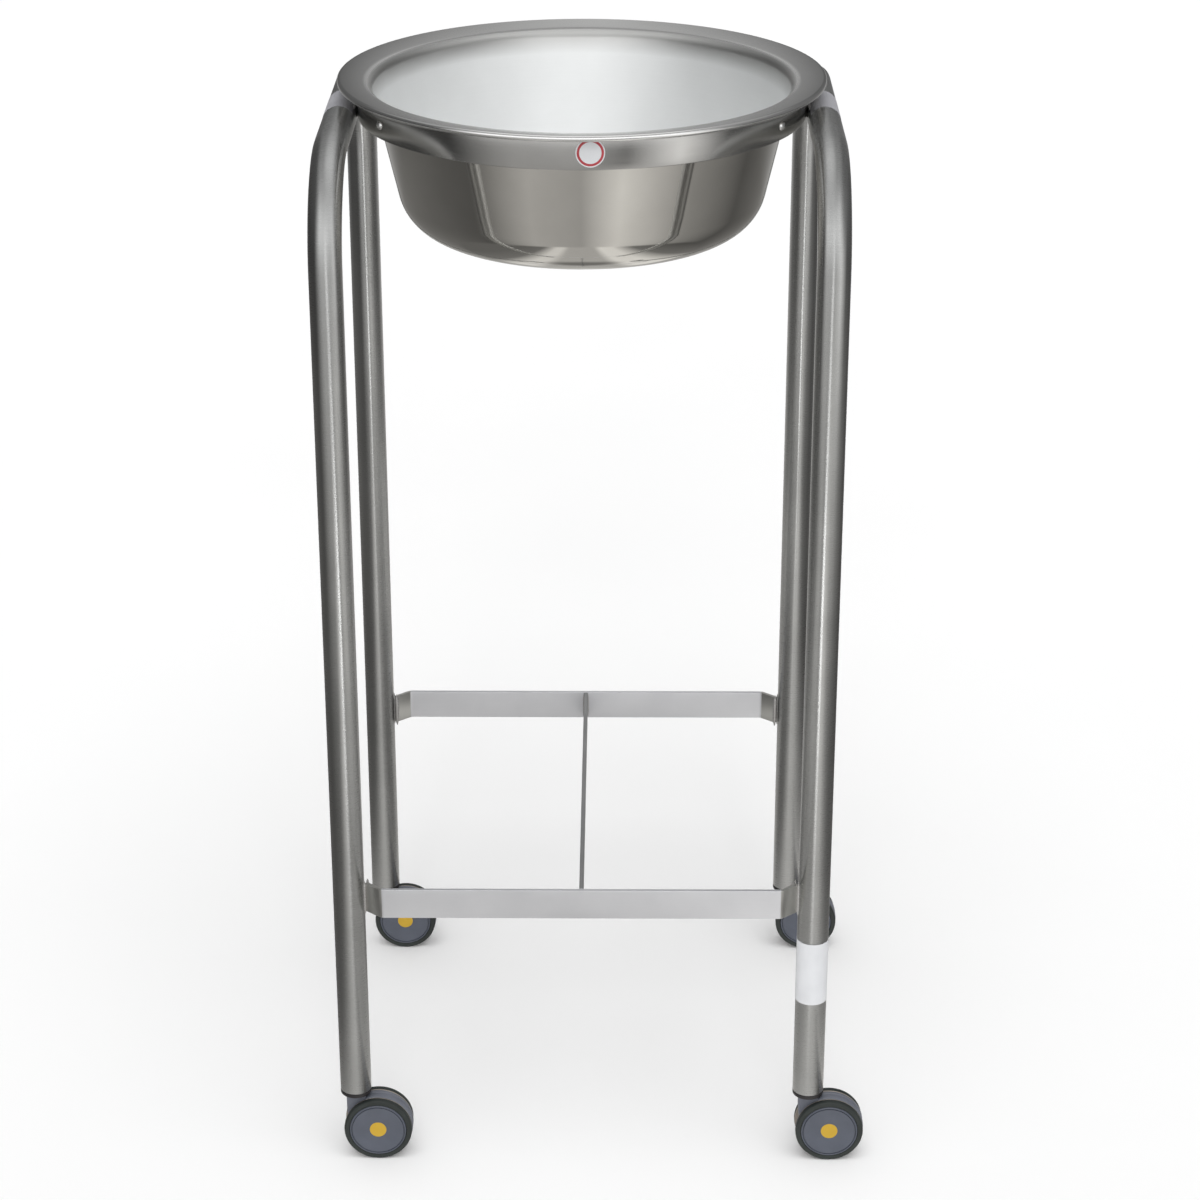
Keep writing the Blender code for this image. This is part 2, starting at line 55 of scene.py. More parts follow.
RING_LOW_Z = ring_low.z
RING_TOP_Z = ring_high.z
basin_low, basin_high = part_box("basin")
BASIN_LOW_Z = basin_low.z
BASIN_RIM_R = basin_high.y
BASIN_RIM_Z = basin_high.z
BASIN_FLOOR_R = max(
    math.hypot(v.co.x, v.co.y)
    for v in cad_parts["basin"].data.vertices
    if v.co.z < BASIN_LOW_Z + 0.0001
)
bar_low, bar_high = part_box("rear_crossbar")
BAR_LOW_Z = bar_low.z
BAR_HEIGHT = bar_high.z - bar_low.z
rivet_low, rivet_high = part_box("ring_rivet_rear")
RIVET_Z = (rivet_low.z + rivet_high.z) / 2
tyre_low, tyre_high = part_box("tyre_front_left_near")
AXLE_Z = (tyre_low.z + tyre_high.z) / 2
WHEEL_R = tyre_high.z - AXLE_Z
CASTER_TRAIL = (tyre_low.x + tyre_high.x) / 2 + LEG_X
WHEEL_INNER_Y = -LEG_Y - tyre_high.y
WHEEL_WIDTH = tyre_high.y - tyre_low.y
hub_low, hub_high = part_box("hub_front_left_near")
HUB_R = hub_high.x - CASTER_TRAIL + LEG_X
HUB_WIDTH = hub_high.y - hub_low.y
_, hood_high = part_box("hood_front_left")
HOOD_TOP_Z = hood_high.z
HOOD_WIDTH = 0.011
socket_low, socket_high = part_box("socket_front_left")
SOCKET_LOW_Z = socket_low.z
SOCKET_TOP_Z = socket_high.z

# The tubes.
TUBE_WALL = 0.00165
BEND_R = 0.076
TUBE_SIDES = 64
BEND_STEPS = 24

# The ring and its rivets.
RING_THICKNESS = 0.0032
RING_EDGE = 0.0006
RING_STEPS = 192
RIVET_ANGLES = {"front_left": 210.0, "front_right": 330.0, "rear": 90.0}
RIVET_HEAD_R = 0.0036
RIVET_HEAD_HEIGHT = 0.0022
RIVET_SHANK_R = 0.0020
RIVET_DEPTH = 0.004

# The basin's sheet.
SHEET = 0.0012
CORNER_R = 0.040
WALL_TAPER = math.radians(13.0)
NECK_R = 0.009
FLANGE_SLOPE = math.radians(9.0)
CURL_D = 0.0047
CURL_TURN = math.radians(205.0)
# Heights where the basin's inside goes from satin to polished, and where its tone is painted light: a painted
# highlight on the rolled edge, and the flange painted darker than the bowl.
POLISH_AND_PAINTED_LIGHT_DEPTH = 0.022
POLISH_AND_PAINTED_LIGHT_STEPS = (0.0, 0.62, 0.78, 0.86)
BASIN_STEPS = 160

# The crossbars.
BAR_THICKNESS = 0.0032
BAR_Y = bar_high.y - BAR_THICKNESS / 2
BAR_SET_BACK_X = 0.027
BAR_BEND_R = 0.006
BAR_EDGE = 0.0004
SEAT_GAP = 0.0003

# The casters.
STEM_HOLE_R = 0.0034
HUB_BORE_R = 0.0036
HOOD_NECK_R = 0.00775
HOOD_NECK_LOW_Z = 0.044
HOOD_TOE_INSET = 0.0025
HOOD_TOE_Z = 0.020
HOOD_GAP = 0.0005
HOOD_ARC_START = math.radians(-35.0)
COLLAR_R = 0.00875
COLLAR_HEIGHT = 0.0020
COLLAR_BORE_R = 0.0036
COLLAR_EDGE = 0.0004
COLLAR_STEPS = 48
SOCKET_FLANGE_HEIGHT = 0.0036
SOCKET_EDGE = 0.0007
TYRE_SHOULDER_R = 0.0016
TYRE_INNER_EDGE = 0.0006
TYRE_INSET = 0.0009
LIP_WIDTH = 0.0008
WHEEL_STEPS = 96
PIN_STEPS = 32
CORNERS = {
    "front_left": (-LEG_X, -LEG_Y),
    "front_right": (LEG_X, -LEG_Y),
    "rear_left": (-LEG_X, LEG_Y),
    "rear_right": (LEG_X, LEG_Y),
}

# Paper and dots.
PAPER = 0.00012
LABEL_GAP = 0.00005
LEG_LABEL_Z = (0.1497, 0.2057)
LEG_LABEL_WRAP_Y = 0.0045
TOP_LABEL_Y = (-0.028, 0.022)
TOP_LABEL_CUT = 0.0035
TOP_LABEL_FACING = (0.75, 0.66)
STICKER_R = 0.0108
STICKER_PLACE = (0.008, 0.8556)
STICKER_GAP = 0.00003
STICKER_RIM = (0.74, 0.92)
STICKER_STEPS = 96
DOT_R = 0.0069

# Weld beads. OFF is from the bar's face to the bead's middle line. RING_WELDS holds (x, z).
BEAD_R = 0.0016
BEAD_SIDES = 16
BAR_BEAD_R = 0.0020
BAR_BEAD_OFF = 0.0004
BAR_BEAD_PAST_END = 0.0026
BRACE_BEAD_R = 0.0007
BRACE_BEAD_X = 0.0019
BRACE_BEAD_OFF = 0.0006
BRACE_BEAD_SHORT = 0.0008
RING_WELDS = {"upper": (0.1757, 0.8482), "lower": (0.1738, 0.8418)}
RING_WELD_HALF = 0.019


def clear_selection():
    """Leaves edit mode and selects nothing."""
    if bpy.context.object and bpy.context.object.mode != "OBJECT":
        bpy.ops.object.mode_set(mode="OBJECT")
    bpy.ops.object.select_all(action="DESELECT")


def take_up(name):
    """Names the primitive just added, puts its place into its mesh and opens it for editing."""
    piece = bpy.context.object
    piece.name = name
    piece.data.name = name
    bpy.ops.object.transform_apply(location=True, rotation=True, scale=True)
    bpy.ops.object.mode_set(mode="EDIT")
    bpy.ops.mesh.select_all(action="SELECT")
    return piece


def push(way):
    """Extrudes what is selected."""
    bpy.ops.mesh.extrude_region_move(TRANSFORM_OT_translate={"value": way})


def close_seams():
    """Merges doubles and turns the faces outwards."""
    bpy.ops.mesh.select_all(action="SELECT")
    bpy.ops.mesh.remove_doubles(threshold=0.00001)
    bpy.ops.mesh.normals_make_consistent(inside=False)


def put_down(piece, smooth=30.0):
    """Leaves edit mode, with edges sharper than the given angle kept sharp."""
    bpy.ops.object.mode_set(mode="OBJECT")
    bpy.ops.object.shade_smooth_by_angle(angle=math.radians(smooth))
    return piece


def apply_modifier(piece, kind, **settings):
    """Adds one modifier and applies it."""
    modifier = piece.modifiers.new(kind.lower(), kind)
    for key, value in settings.items():
        setattr(modifier, key, value)
    bpy.ops.object.modifier_apply(modifier=modifier.name)


def draw_line(name, points):
    """A line of edges: a plane merged to its middle, then that vertex extruded from point to point."""
    clear_selection()
    bpy.ops.mesh.primitive_plane_add(size=0.001, location=points[0])
    line = take_up(name)
    bpy.ops.mesh.merge(type="CENTER")
    for before, after in zip(points, points[1:]):
        way = Vector(after) - Vector(before)
        bpy.ops.mesh.extrude_vertices_move(TRANSFORM_OT_translate={"value": way})
    return line


def spin_line(name, points, centre, axis, steps):
    """A turned piece: a line spun once round an axis. It is left in edit mode."""
    piece = draw_line(name, points)
    bpy.ops.mesh.select_all(action="SELECT")
    bpy.ops.mesh.spin(steps=steps, angle=2 * math.pi, center=centre, axis=axis)
    close_seams()
    return piece


def arc(centre, radius, start, end, segments):
    """Points of an arc in a plane."""
    turns = [start + (end - start) * i / segments for i in range(segments + 1)]
    return [(centre[0] + radius * math.cos(t), centre[1] + radius * math.sin(t)) for t in turns]


def copy_piece(piece, name, change):
    """A copy with a mesh of its own, changed by a matrix."""
    twin = piece.copy()
    twin.data = piece.data.copy()
    twin.name = name
    twin.data.name = name
    twin.data.transform(change)
    if change.determinant() < 0:
        twin.data.flip_normals()
    bpy.context.scene.collection.objects.link(twin)
    return twin


def settle(piece, body, finish, nodes=()):
    """Gives a piece its finish, its body and the nodes that it stands for."""
    if finish is not None:
        piece.data.materials.clear()
        piece.data.materials.append(finish)
    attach(piece, body)
    if nodes:
        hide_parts(*nodes)
    return piece


# Finishes.


def new_finish(name, metallic=0.0):
    """An empty node finish: its tree and its shader."""
    finish = bpy.data.materials.new(name)
    finish.use_nodes = True
    shader = finish.node_tree.nodes["Principled BSDF"]
    shader.inputs["Metallic"].default_value = metallic
    return finish, finish.node_tree, shader


def object_place(tree, scale):
    """Object coordinates, stretched."""
    place = tree.nodes.new("ShaderNodeTexCoord")
    mapping = tree.nodes.new("ShaderNodeMapping")
    mapping.inputs["Scale"].default_value = scale
    tree.links.new(place.outputs["Object"], mapping.inputs["Vector"])
    return mapping.outputs["Vector"]


def tube_place(tree, along, around):
    """The tube's own coordinates: its length in metres and half its girth."""
    place = tree.nodes.new("ShaderNodeUVMap")
    place.uv_map = "along_tube"
    mapping = tree.nodes.new("ShaderNodeMapping")
    mapping.inputs["Scale"].default_value = (along, around, 1.0)
    tree.links.new(place.outputs["UV"], mapping.inputs["Vector"])
    return mapping.outputs["Vector"]


def turned_place(tree, fine, coarse):
    """Coordinates for lines round the upright axis: radius and height fine, the way round coarse."""
    place = tree.nodes.new("ShaderNodeTexCoord")
    flat = tree.nodes.new("ShaderNodeVectorMath")
    flat.operation = "MULTIPLY"
    flat.inputs[1].default_value = (1.0, 1.0, 0.0)
    tree.links.new(place.outputs["Object"], flat.inputs[0])
    radius = tree.nodes.new("ShaderNodeVectorMath")
    radius.operation = "LENGTH"
    tree.links.new(flat.outputs["Vector"], radius.inputs[0])
    split = tree.nodes.new("ShaderNodeSeparateXYZ")
    tree.links.new(place.outputs["Object"], split.inputs["Vector"])
    joined = tree.nodes.new("ShaderNodeCombineXYZ")
    tree.links.new(radius.outputs["Value"], joined.inputs["X"])
    tree.links.new(split.outputs["Z"], joined.inputs["Y"])
    lines = tree.nodes.new("ShaderNodeVectorMath")
    lines.operation = "SCALE"
    lines.inputs["Scale"].default_value = fine
    tree.links.new(joined.outputs["Vector"], lines.inputs[0])
    drift = tree.nodes.new("ShaderNodeVectorMath")
    drift.operation = "SCALE"
    drift.inputs["Scale"].default_value = coarse
    tree.links.new(place.outputs["Object"], drift.inputs[0])
    total = tree.nodes.new("ShaderNodeVectorMath")
    total.operation = "ADD"
    tree.links.new(lines.outputs["Vector"], total.inputs[0])
    tree.links.new(drift.outputs["Vector"], total.inputs[1])
    return total.outputs["Vector"]


def noise(tree, place, scale, detail=3.0):
    """A noise value."""
    node = tree.nodes.new("ShaderNodeTexNoise")
    node.inputs["Scale"].default_value = scale
    node.inputs["Detail"].default_value = detail
    tree.links.new(place, node.inputs["Vector"])
    return node.outputs["Fac"]


def between(tree, value, low, high):
    """A noise value spread over a range."""
    node = tree.nodes.new("ShaderNodeMapRange")
    node.inputs["From Min"].default_value = 0.3
    node.inputs["From Max"].default_value = 0.7
    node.inputs["To Min"].default_value = low
    node.inputs["To Max"].default_value = high
    tree.links.new(value, node.inputs["Value"])
    return node.outputs["Result"]


def shades(tree, value, *stops):
    """A colour ramp: (place, colour) stops over a value."""
    node = tree.nodes.new("ShaderNodeValToRGB")
    ramp = node.color_ramp
    while len(ramp.elements) < len(stops):
        ramp.elements.new(1.0)
    for element, (place, colour) in zip(ramp.elements, stops):
        element.position = place
        element.color = (*colour, 1.0)
    tree.links.new(value, node.inputs["Fac"])
    return node.outputs["Color"]


def bump(tree, shader, height, strength, distance):
    """Relief under the shader."""
    node = tree.nodes.new("ShaderNodeBump")
    node.inputs["Strength"].default_value = strength
    node.inputs["Distance"].default_value = distance
    tree.links.new(height, node.inputs["Height"])
    tree.links.new(node.outputs["Normal"], shader.inputs["Normal"])


def steel(name, grain, pale, dark, roughness, relief, spread=0.0, round_axis=False, along_tube=False):
    """Brushed steel. grain makes the coordinates of its lines; spread draws highlights out across them."""
    finish, tree, shader = new_finish(name, 1.0)
    lines = noise(tree, grain(tree), 1.0, 4.0)
    smear = noise(tree, object_place(tree, (1.0, 1.0, 1.0)), 21.0, 4.0)
    tree.links.new(shades(tree, smear, (0.3, dark), (0.7, pale)), shader.inputs["Base Color"])
    tree.links.new(between(tree, lines, *roughness), shader.inputs["Roughness"])
    bump(tree, shader, lines, relief, 0.0002)
    if spread:
        shader.inputs["Anisotropic"].default_value = spread
        tangent = tree.nodes.new("ShaderNodeTangent")
        if along_tube:
            tangent.direction_type = "UV_MAP"
            tangent.uv_map = "along_tube"
        if round_axis:
            tangent.direction_type = "RADIAL"
            tangent.axis = "Z"
            shader.inputs["Anisotropic Rotation"].default_value = 0.25
        tree.links.new(tangent.outputs["Tangent"], shader.inputs["Tangent"])
    return finish


def drawn_steel():
    """The basin's inside: satin in the bowl, going over to polished on the flange, with painted light over
    its height: the rolled edge painted bright, the flange painted darker than the bowl.
    """
    finish, tree, shader = new_finish("basin_inside", 1.0)
    lines = noise(tree, turned_place(tree, 2600.0, 25.0), 1.0, 4.0)
    smear = noise(tree, object_place(tree, (1.0, 1.0, 1.0)), 21.0, 4.0)
    place = tree.nodes.new("ShaderNodeTexCoord")
    split = tree.nodes.new("ShaderNodeSeparateXYZ")
    tree.links.new(place.outputs["Object"], split.inputs["Vector"])
    height = tree.nodes.new("ShaderNodeMapRange")
    height.inputs["From Min"].default_value = BASIN_RIM_Z - POLISH_AND_PAINTED_LIGHT_DEPTH
    height.inputs["From Max"].default_value = BASIN_RIM_Z
    tree.links.new(split.outputs["Z"], height.inputs["Value"])
    up = height.outputs["Result"]
    # Painted light: these tones by height paint the bowl and the rolled edge bright and the flange dark, as
    # lit and shaded copies of one steel.
    painted_light_dark_tones = [(0.80, 0.81, 0.81), (0.51, 0.51, 0.50), (0.51, 0.51, 0.50), (0.80, 0.80, 0.79)]
    painted_light_pale_tones = [(0.87, 0.88, 0.88), (0.57, 0.57, 0.56), (0.57, 0.57, 0.56), (0.88, 0.88, 0.87)]
    rough_tones = [(level,) * 3 for level in (0.62, 0.38, 0.36, 0.20)]
    dark = shades(tree, up, *zip(POLISH_AND_PAINTED_LIGHT_STEPS, painted_light_dark_tones))
    pale = shades(tree, up, *zip(POLISH_AND_PAINTED_LIGHT_STEPS, painted_light_pale_tones))
    colour = tree.nodes.new("ShaderNodeMix")
    colour.data_type = "RGBA"
    tree.links.new(smear, colour.inputs["Factor"])
    tree.links.new(dark, colour.inputs["A"])
    tree.links.new(pale, colour.inputs["B"])
    tree.links.new(colour.outputs["Result"], shader.inputs["Base Color"])
    satin = shades(tree, up, *zip(POLISH_AND_PAINTED_LIGHT_STEPS, rough_tones))
    sheen = tree.nodes.new("ShaderNodeMath")
    sheen.operation = "MULTIPLY"
    tree.links.new(satin, sheen.inputs[0])
    tree.links.new(between(tree, lines, 0.94, 1.06), sheen.inputs[1])
    tree.links.new(sheen.outputs["Value"], shader.inputs["Roughness"])
    bump(tree, shader, lines, 0.015, 0.0002)
    return finish


def moulded(name, pale, dark, roughness, grain, relief):
    """Moulded plastic or rubber with a fine grain."""
    finish, tree, shader = new_finish(name)
    place = object_place(tree, (1.0, 1.0, 1.0))
    fine = noise(tree, place, grain, 5.0)
    smear = noise(tree, place, 60.0, 3.0)
    tree.links.new(shades(tree, smear, (0.3, dark), (0.7, pale)), shader.inputs["Base Color"])
    tree.links.new(between(tree, fine, *roughness), shader.inputs["Roughness"])
    bump(tree, shader, fine, relief, 0.0002)
    return finish


def printed(name, pale, dark, roughness=(0.38, 0.5)):
    """Coated paper or film."""
    finish, tree, shader = new_finish(name)
    place = object_place(tree, (1.0, 1.0, 1.0))
    fibre = noise(tree, place, 900.0, 5.0)
    smear = noise(tree, place, 45.0, 3.0)
    tree.links.new(shades(tree, smear, (0.3, dark), (0.75, pale)), shader.inputs["Base Color"])
    tree.links.new(between(tree, fibre, *roughness), shader.inputs["Roughness"])
    bump(tree, shader, fibre, 0.08, 0.0001)
    return finish


def bar_grain(tree):
    """Coordinates for lines along a bar."""
    return object_place(tree, (40.0, 40.0, 1900.0))


SATIN_TUBE = steel(
    "satin_tube",
    lambda tree: tube_place(tree, 2600.0, 5.0),
    (0.60, 0.605, 0.60),
    (0.53, 0.535, 0.53),
    (0.26, 0.33),
    0.015,
    spread=1.0,
    along_tube=True,
)
RING_STEEL = steel(
    "ring_steel",
    lambda tree: turned_place(tree, 2200.0, 30.0),
    (0.57, 0.565, 0.55),
    (0.50, 0.495, 0.48),
    (0.15, 0.21),
    0.012,
    spread=0.7,
    round_axis=True,
)
BASIN_OUTSIDE = steel(
    "basin_outside",
    lambda tree: turned_place(tree, 1600.0, 25.0),
    (0.71, 0.695, 0.66),
    (0.65, 0.635, 0.60),
    (0.06, 0.09),
    0.001,
    spread=0.3,
    round_axis=True,
)
BASIN_INSIDE = drawn_steel()
BAR_STEEL = steel(
    "bar_steel",
    bar_grain,
    (0.89, 0.90, 0.935),
    (0.82, 0.83, 0.865),
    (0.42, 0.54),
    0.07,
)
# The bars' bent ends: the bar steel painted darker, which is painted shade, with less roughness so that the
# lamps' sheen stays off them.
BAR_END_PAINTED_SHADE_STEEL = steel(
    "bar_end_painted_shade_steel",
    bar_grain,
    (0.64, 0.64, 0.62),
    (0.57, 0.57, 0.55),
    (0.28, 0.36),
    0.01,
)
BRACE_STEEL = steel(
    "brace_steel",
    bar_grain,
    (0.46, 0.47, 0.48),
    (0.40, 0.41, 0.42),
    (0.42, 0.54),
    0.07,
)
WELD_METAL = steel(
    "weld_metal",
    lambda tree: object_place(tree, (700.0, 700.0, 700.0)),
    (0.66, 0.66, 0.66),
    (0.52, 0.51, 0.50),
    (0.34, 0.46),
    0.15,
)
RIVET_STEEL = steel(
    "rivet_steel",
    lambda tree: object_place(tree, (500.0, 500.0, 500.0)),
    (0.88, 0.88, 0.87),
    (0.80, 0.80, 0.79),
    (0.22, 0.30),
    0.05,
)
PLATED_STEEL = steel(
    "plated_steel",
    lambda tree: object_place(tree, (600.0, 600.0, 600.0)),
    (0.62, 0.61, 0.58),
    (0.52, 0.51, 0.48),
    (0.24, 0.34),
    0.05,
)
BLACK_PLASTIC = moulded(
    "black_plastic", (0.022, 0.019, 0.021), (0.012, 0.010, 0.012), (0.42, 0.55), 1500.0, 0.08
)
GREY_PLASTIC = moulded(
    "grey_plastic", (0.094, 0.105, 0.136), (0.080, 0.090, 0.117), (0.40, 0.52), 1800.0, 0.07
)
HOOD_PLASTIC = moulded(
    "hood_plastic", (0.150, 0.160, 0.192), (0.125, 0.135, 0.165), (0.40, 0.52), 1800.0, 0.07
)
TYRE_RUBBER = moulded("tyre_rubber", (0.022, 0.029, 0.027), (0.015, 0.020, 0.018), (0.50, 0.65), 1300.0, 0.12)
TYRE_LIP = moulded("tyre_lip", (0.33, 0.29, 0.25), (0.25, 0.22, 0.19), (0.45, 0.6), 1300.0, 0.08)
BUMPER_RUBBER = moulded("bumper_rubber", (0.62, 0.60, 0.56), (0.52, 0.50, 0.46), (0.50, 0.62), 1200.0, 0.1)
WHITE_PAPER = printed("white_paper", (0.76, 0.77, 0.79), (0.69, 0.70, 0.72))
SILVER_PAPER = printed("silver_paper", (0.47, 0.47, 0.50), (0.40, 0.40, 0.43))
RED_PRINT = printed("red_print", (0.50, 0.045, 0.060), (0.40, 0.035, 0.045))
YELLOW_FILM = printed("yellow_film", (0.62, 0.385, 0.020), (0.54, 0.33, 0.017))


# Side frames, ring and basin.


def tube_run(point, x):
    """How far along the bent tube a point is, in metres, and how far round it, from 0 to 1."""
    bend_z = TOP_RUN_Z - BEND_R
    flat_y = LEG_Y - BEND_R
    leg = bend_z - LEG_END_Z
    quarter = BEND_R * math.pi / 2
    side = -1 if point.y < 0 else 1
    if point.z <= bend_z:
        from_foot = point.z - LEG_END_Z
        outwards = side * point.y - LEG_Y
    elif abs(point.y) >= flat_y:
        reach = Vector((abs(point.y) - flat_y, point.z - bend_z))
        from_foot = leg + BEND_R * math.atan2(reach.y, reach.x)
        outwards = reach.length - BEND_R
    else:
        from_foot = leg + quarter + flat_y - abs(point.y)
        outwards = point.z - TOP_RUN_Z
    whole = 2 * (leg + quarter + flat_y)
    along = from_foot if side < 0 else whole - from_foot
    around = math.atan2(point.x - x, outwards)
    return along, abs(around) / math.pi


def side_tube(name, x):
    """One tube bent into an upside-down U: a circle at the front foot, pushed up, over and down."""
    clear_selection()
    foot = (x, -LEG_Y, LEG_END_Z)
    bpy.ops.mesh.primitive_circle_add(vertices=TUBE_SIDES, radius=TUBE_R, location=foot)
    tube = take_up(name)
    bend_z = TOP_RUN_Z - BEND_R
    flat_y = LEG_Y - BEND_R
    push((0, 0, bend_z - LEG_END_Z))
    for end_y in (-flat_y, flat_y):
        centre = (x, end_y, bend_z)
        bpy.ops.mesh.spin(steps=BEND_STEPS, angle=math.pi / 2, center=centre, axis=(1, 0, 0))
        if end_y < 0:
            push((0, 2 * flat_y, 0))
    push((0, 0, LEG_END_Z - bend_z))
    close_seams()
    put_down(tube)
    if max(tube.data.polygons, key=lambda face: face.center.x).normal.x < 0:
        tube.data.flip_normals()
    grain = tube.data.uv_layers.new(name="along_tube")
    for loop in tube.data.loops:
        grain.data[loop.index].uv = tube_run(tube.data.vertices[loop.vertex_index].co, x)
    apply_modifier(tube, "SOLIDIFY", thickness=TUBE_WALL, offset=-1)
    return tube


def ring_band():
    """The flat band hoop: a bevelled upright rectangle spun round the basin's axis."""
    clear_selection()
    middle = (RING_OUTER_R - RING_THICKNESS / 2, 0, (RING_LOW_Z + RING_TOP_Z) / 2)
    bpy.ops.mesh.primitive_plane_add(size=1, location=middle, rotation=(math.pi / 2, 0, 0))
    bpy.context.object.scale = (RING_THICKNESS, RING_TOP_Z - RING_LOW_Z, 1)
    band = take_up("ring_band")
    bpy.ops.mesh.bevel(offset=RING_EDGE, segments=3, affect="VERTICES")
    bpy.ops.mesh.delete(type="ONLY_FACE")
    bpy.ops.mesh.select_all(action="SELECT")
    bpy.ops.mesh.spin(steps=RING_STEPS, angle=2 * math.pi, center=(0, 0, 0), axis=(0, 0, 1))
    close_seams()
    return put_down(band, 40)


def basin_line():
    """(radius, height) along the outside of the basin's sheet, from the floor's middle to the curl."""
    curl_r = CURL_D / 2 - SHEET
    curl_centre = Vector((BASIN_RIM_R - CURL_D / 2, BASIN_RIM_Z - BASIN_LOW_Z - CURL_D / 2))
    flange_normal = math.pi / 2 + FLANGE_SLOPE
    flange_end = curl_centre + curl_r * Vector((math.cos(flange_normal), math.sin(flange_normal)))
    flange_way = Vector((math.cos(FLANGE_SLOPE), math.sin(FLANGE_SLOPE)))
    wall_way = Vector((math.sin(WALL_TAPER), math.cos(WALL_TAPER)))
    wall_out = Vector((wall_way.y, -wall_way.x))
    corner_centre = Vector((BASIN_FLOOR_R, CORNER_R))
    wall_start = corner_centre + CORNER_R * wall_out
    reach = flange_end - wall_start
    meeting = wall_start + wall_way * reach.cross(flange_way) / wall_way.cross(flange_way)
    neck_turn = math.pi / 2 - WALL_TAPER - FLANGE_SLOPE
    neck_start = meeting - wall_way * NECK_R * math.tan(neck_turn / 2)
    neck_centre = neck_start + NECK_R * wall_out
    line = [(BASIN_FLOOR_R * i / 6, 0.0) for i in range(6)]
    line += arc(corner_centre, CORNER_R, -math.pi / 2, -WALL_TAPER, 16)
    wall_end = Vector(neck_start)
    wall_begin = Vector(line[-1])
    line += [tuple(wall_begin.lerp(wall_end, i / 6)) for i in range(1, 6)]
    line += arc(neck_centre, NECK_R, math.pi - WALL_TAPER, flange_normal, 12)
    line += arc(curl_centre, curl_r, flange_normal, flange_normal - CURL_TURN, 16)
    return line


def basin_sheet():
    """The drawn basin: its outside line spun, then given the sheet's thickness inwards."""
    points = [(r, 0, BASIN_LOW_Z + z) for r, z in basin_line()]
    bowl = spin_line("basin_sheet", points, (0, 0, 0), (0, 0, 1), BASIN_STEPS)
    bpy.ops.object.mode_set(mode="OBJECT")
    if min(bowl.data.polygons, key=lambda face: face.center.z).normal.z > 0:
        bowl.data.flip_normals()
    bowl.data.materials.append(BASIN_OUTSIDE)
    bowl.data.materials.append(BASIN_INSIDE)
    apply_modifier(
        bowl, "SOLIDIFY", thickness=SHEET, offset=-1, use_even_offset=True, material_offset=1
    )
    bpy.ops.object.shade_smooth_by_angle(angle=math.radians(40))
    return bowl


def ring_rivet():
    """A domed rivet on the ring's outside, modelled on the +X side."""
    dome_r = (RIVET_HEAD_R**2 + RIVET_HEAD_HEIGHT**2) / (2 * RIVET_HEAD_HEIGHT)
    edge = math.asin(RIVET_HEAD_R / dome_r)
    dome = arc((RING_OUTER_R + RIVET_HEAD_HEIGHT - dome_r, 0), dome_r, 0, edge, 10)
    line = dome + [(RING_OUTER_R - RING_THICKNESS / 2, RIVET_HEAD_R * 0.9)]
    line += [(RING_OUTER_R - RING_THICKNESS / 2, RIVET_SHANK_R), (RING_OUTER_R - RIVET_DEPTH, RIVET_SHANK_R)]
    line += [(RING_OUTER_R - RIVET_DEPTH, 0.0)]
    points = [(x, 0, RIVET_Z + r) for x, r in line]
    rivet = spin_line("rivet", points, (0, 0, RIVET_Z), (1, 0, 0), PIN_STEPS)
    return put_down(rivet, 50)


# Crossbars and weld beads.


def bar_line(side):
    """The crossbar's middle line at its lower edge: straight, with both ends bent back to the legs."""
    bend = Vector((LEG_X - BAR_SET_BACK_X, BAR_Y))
    leg_side = LEG_X - TUBE_R - SEAT_GAP
    slope = math.atan2(BAR_Y - LEG_Y, leg_side - bend.x)
    end = Vector((leg_side - math.sin(slope) * BAR_THICKNESS / 2, LEG_Y))
    turn = math.atan2(BAR_Y - LEG_Y, end.x - bend.x)
    start_x = bend.x - BAR_BEND_R * math.tan(turn / 2)
    half = arc((start_x, BAR_Y - BAR_BEND_R), BAR_BEND_R, math.pi / 2, math.pi / 2 - turn, 8)
    half = half + [tuple(end)]
    path = [(-x, y) for x, y in reversed(half)] + half
    return [(x, side * y, BAR_LOW_Z) for x, y in path]


def crossbar(name, side):
    """A flat bar on edge: its line pushed up, thickened, and its edges eased."""
    bar = draw_line(name, bar_line(side))
    bpy.ops.mesh.select_all(action="SELECT")
    push((0, 0, BAR_HEIGHT))
    close_seams()
    bpy.ops.object.mode_set(mode="OBJECT")
    apply_modifier(bar, "SOLIDIFY", thickness=BAR_THICKNESS, offset=0, use_even_offset=True)
    apply_modifier(bar, "BEVEL", width=BAR_EDGE, segments=3, limit_method="ANGLE", angle_limit=0.9)
    bpy.ops.object.shade_smooth_by_angle(angle=math.radians(40))
    return bar


def weld_bead(name, start, end, radius=BEAD_R):
    """A weld bead between two points: a rippled line spun round the bead's own run."""
    start = Vector(start)
    run = Vector(end) - start
    across = run.orthogonal().normalized()
    ripples = max(3, round(run.length / (1.5 * radius)))
    count = 8 * ripples
    points = [start]
    for i in range(count + 1):
        t = i / count
        taper = min(1.0, 4.5 * min(t, 1 - t) + 0.15)
        thickness = radius * taper * (0.84 + 0.16 * abs(math.sin(math.pi * ripples * t)))
        points.append(start + run * t + across * thickness)
    points.append(start + run)
    bead = spin_line(name, points, start, run, BEAD_SIDES)
    return put_down(bead, 60)


# Casters, modelled at the front left leg.


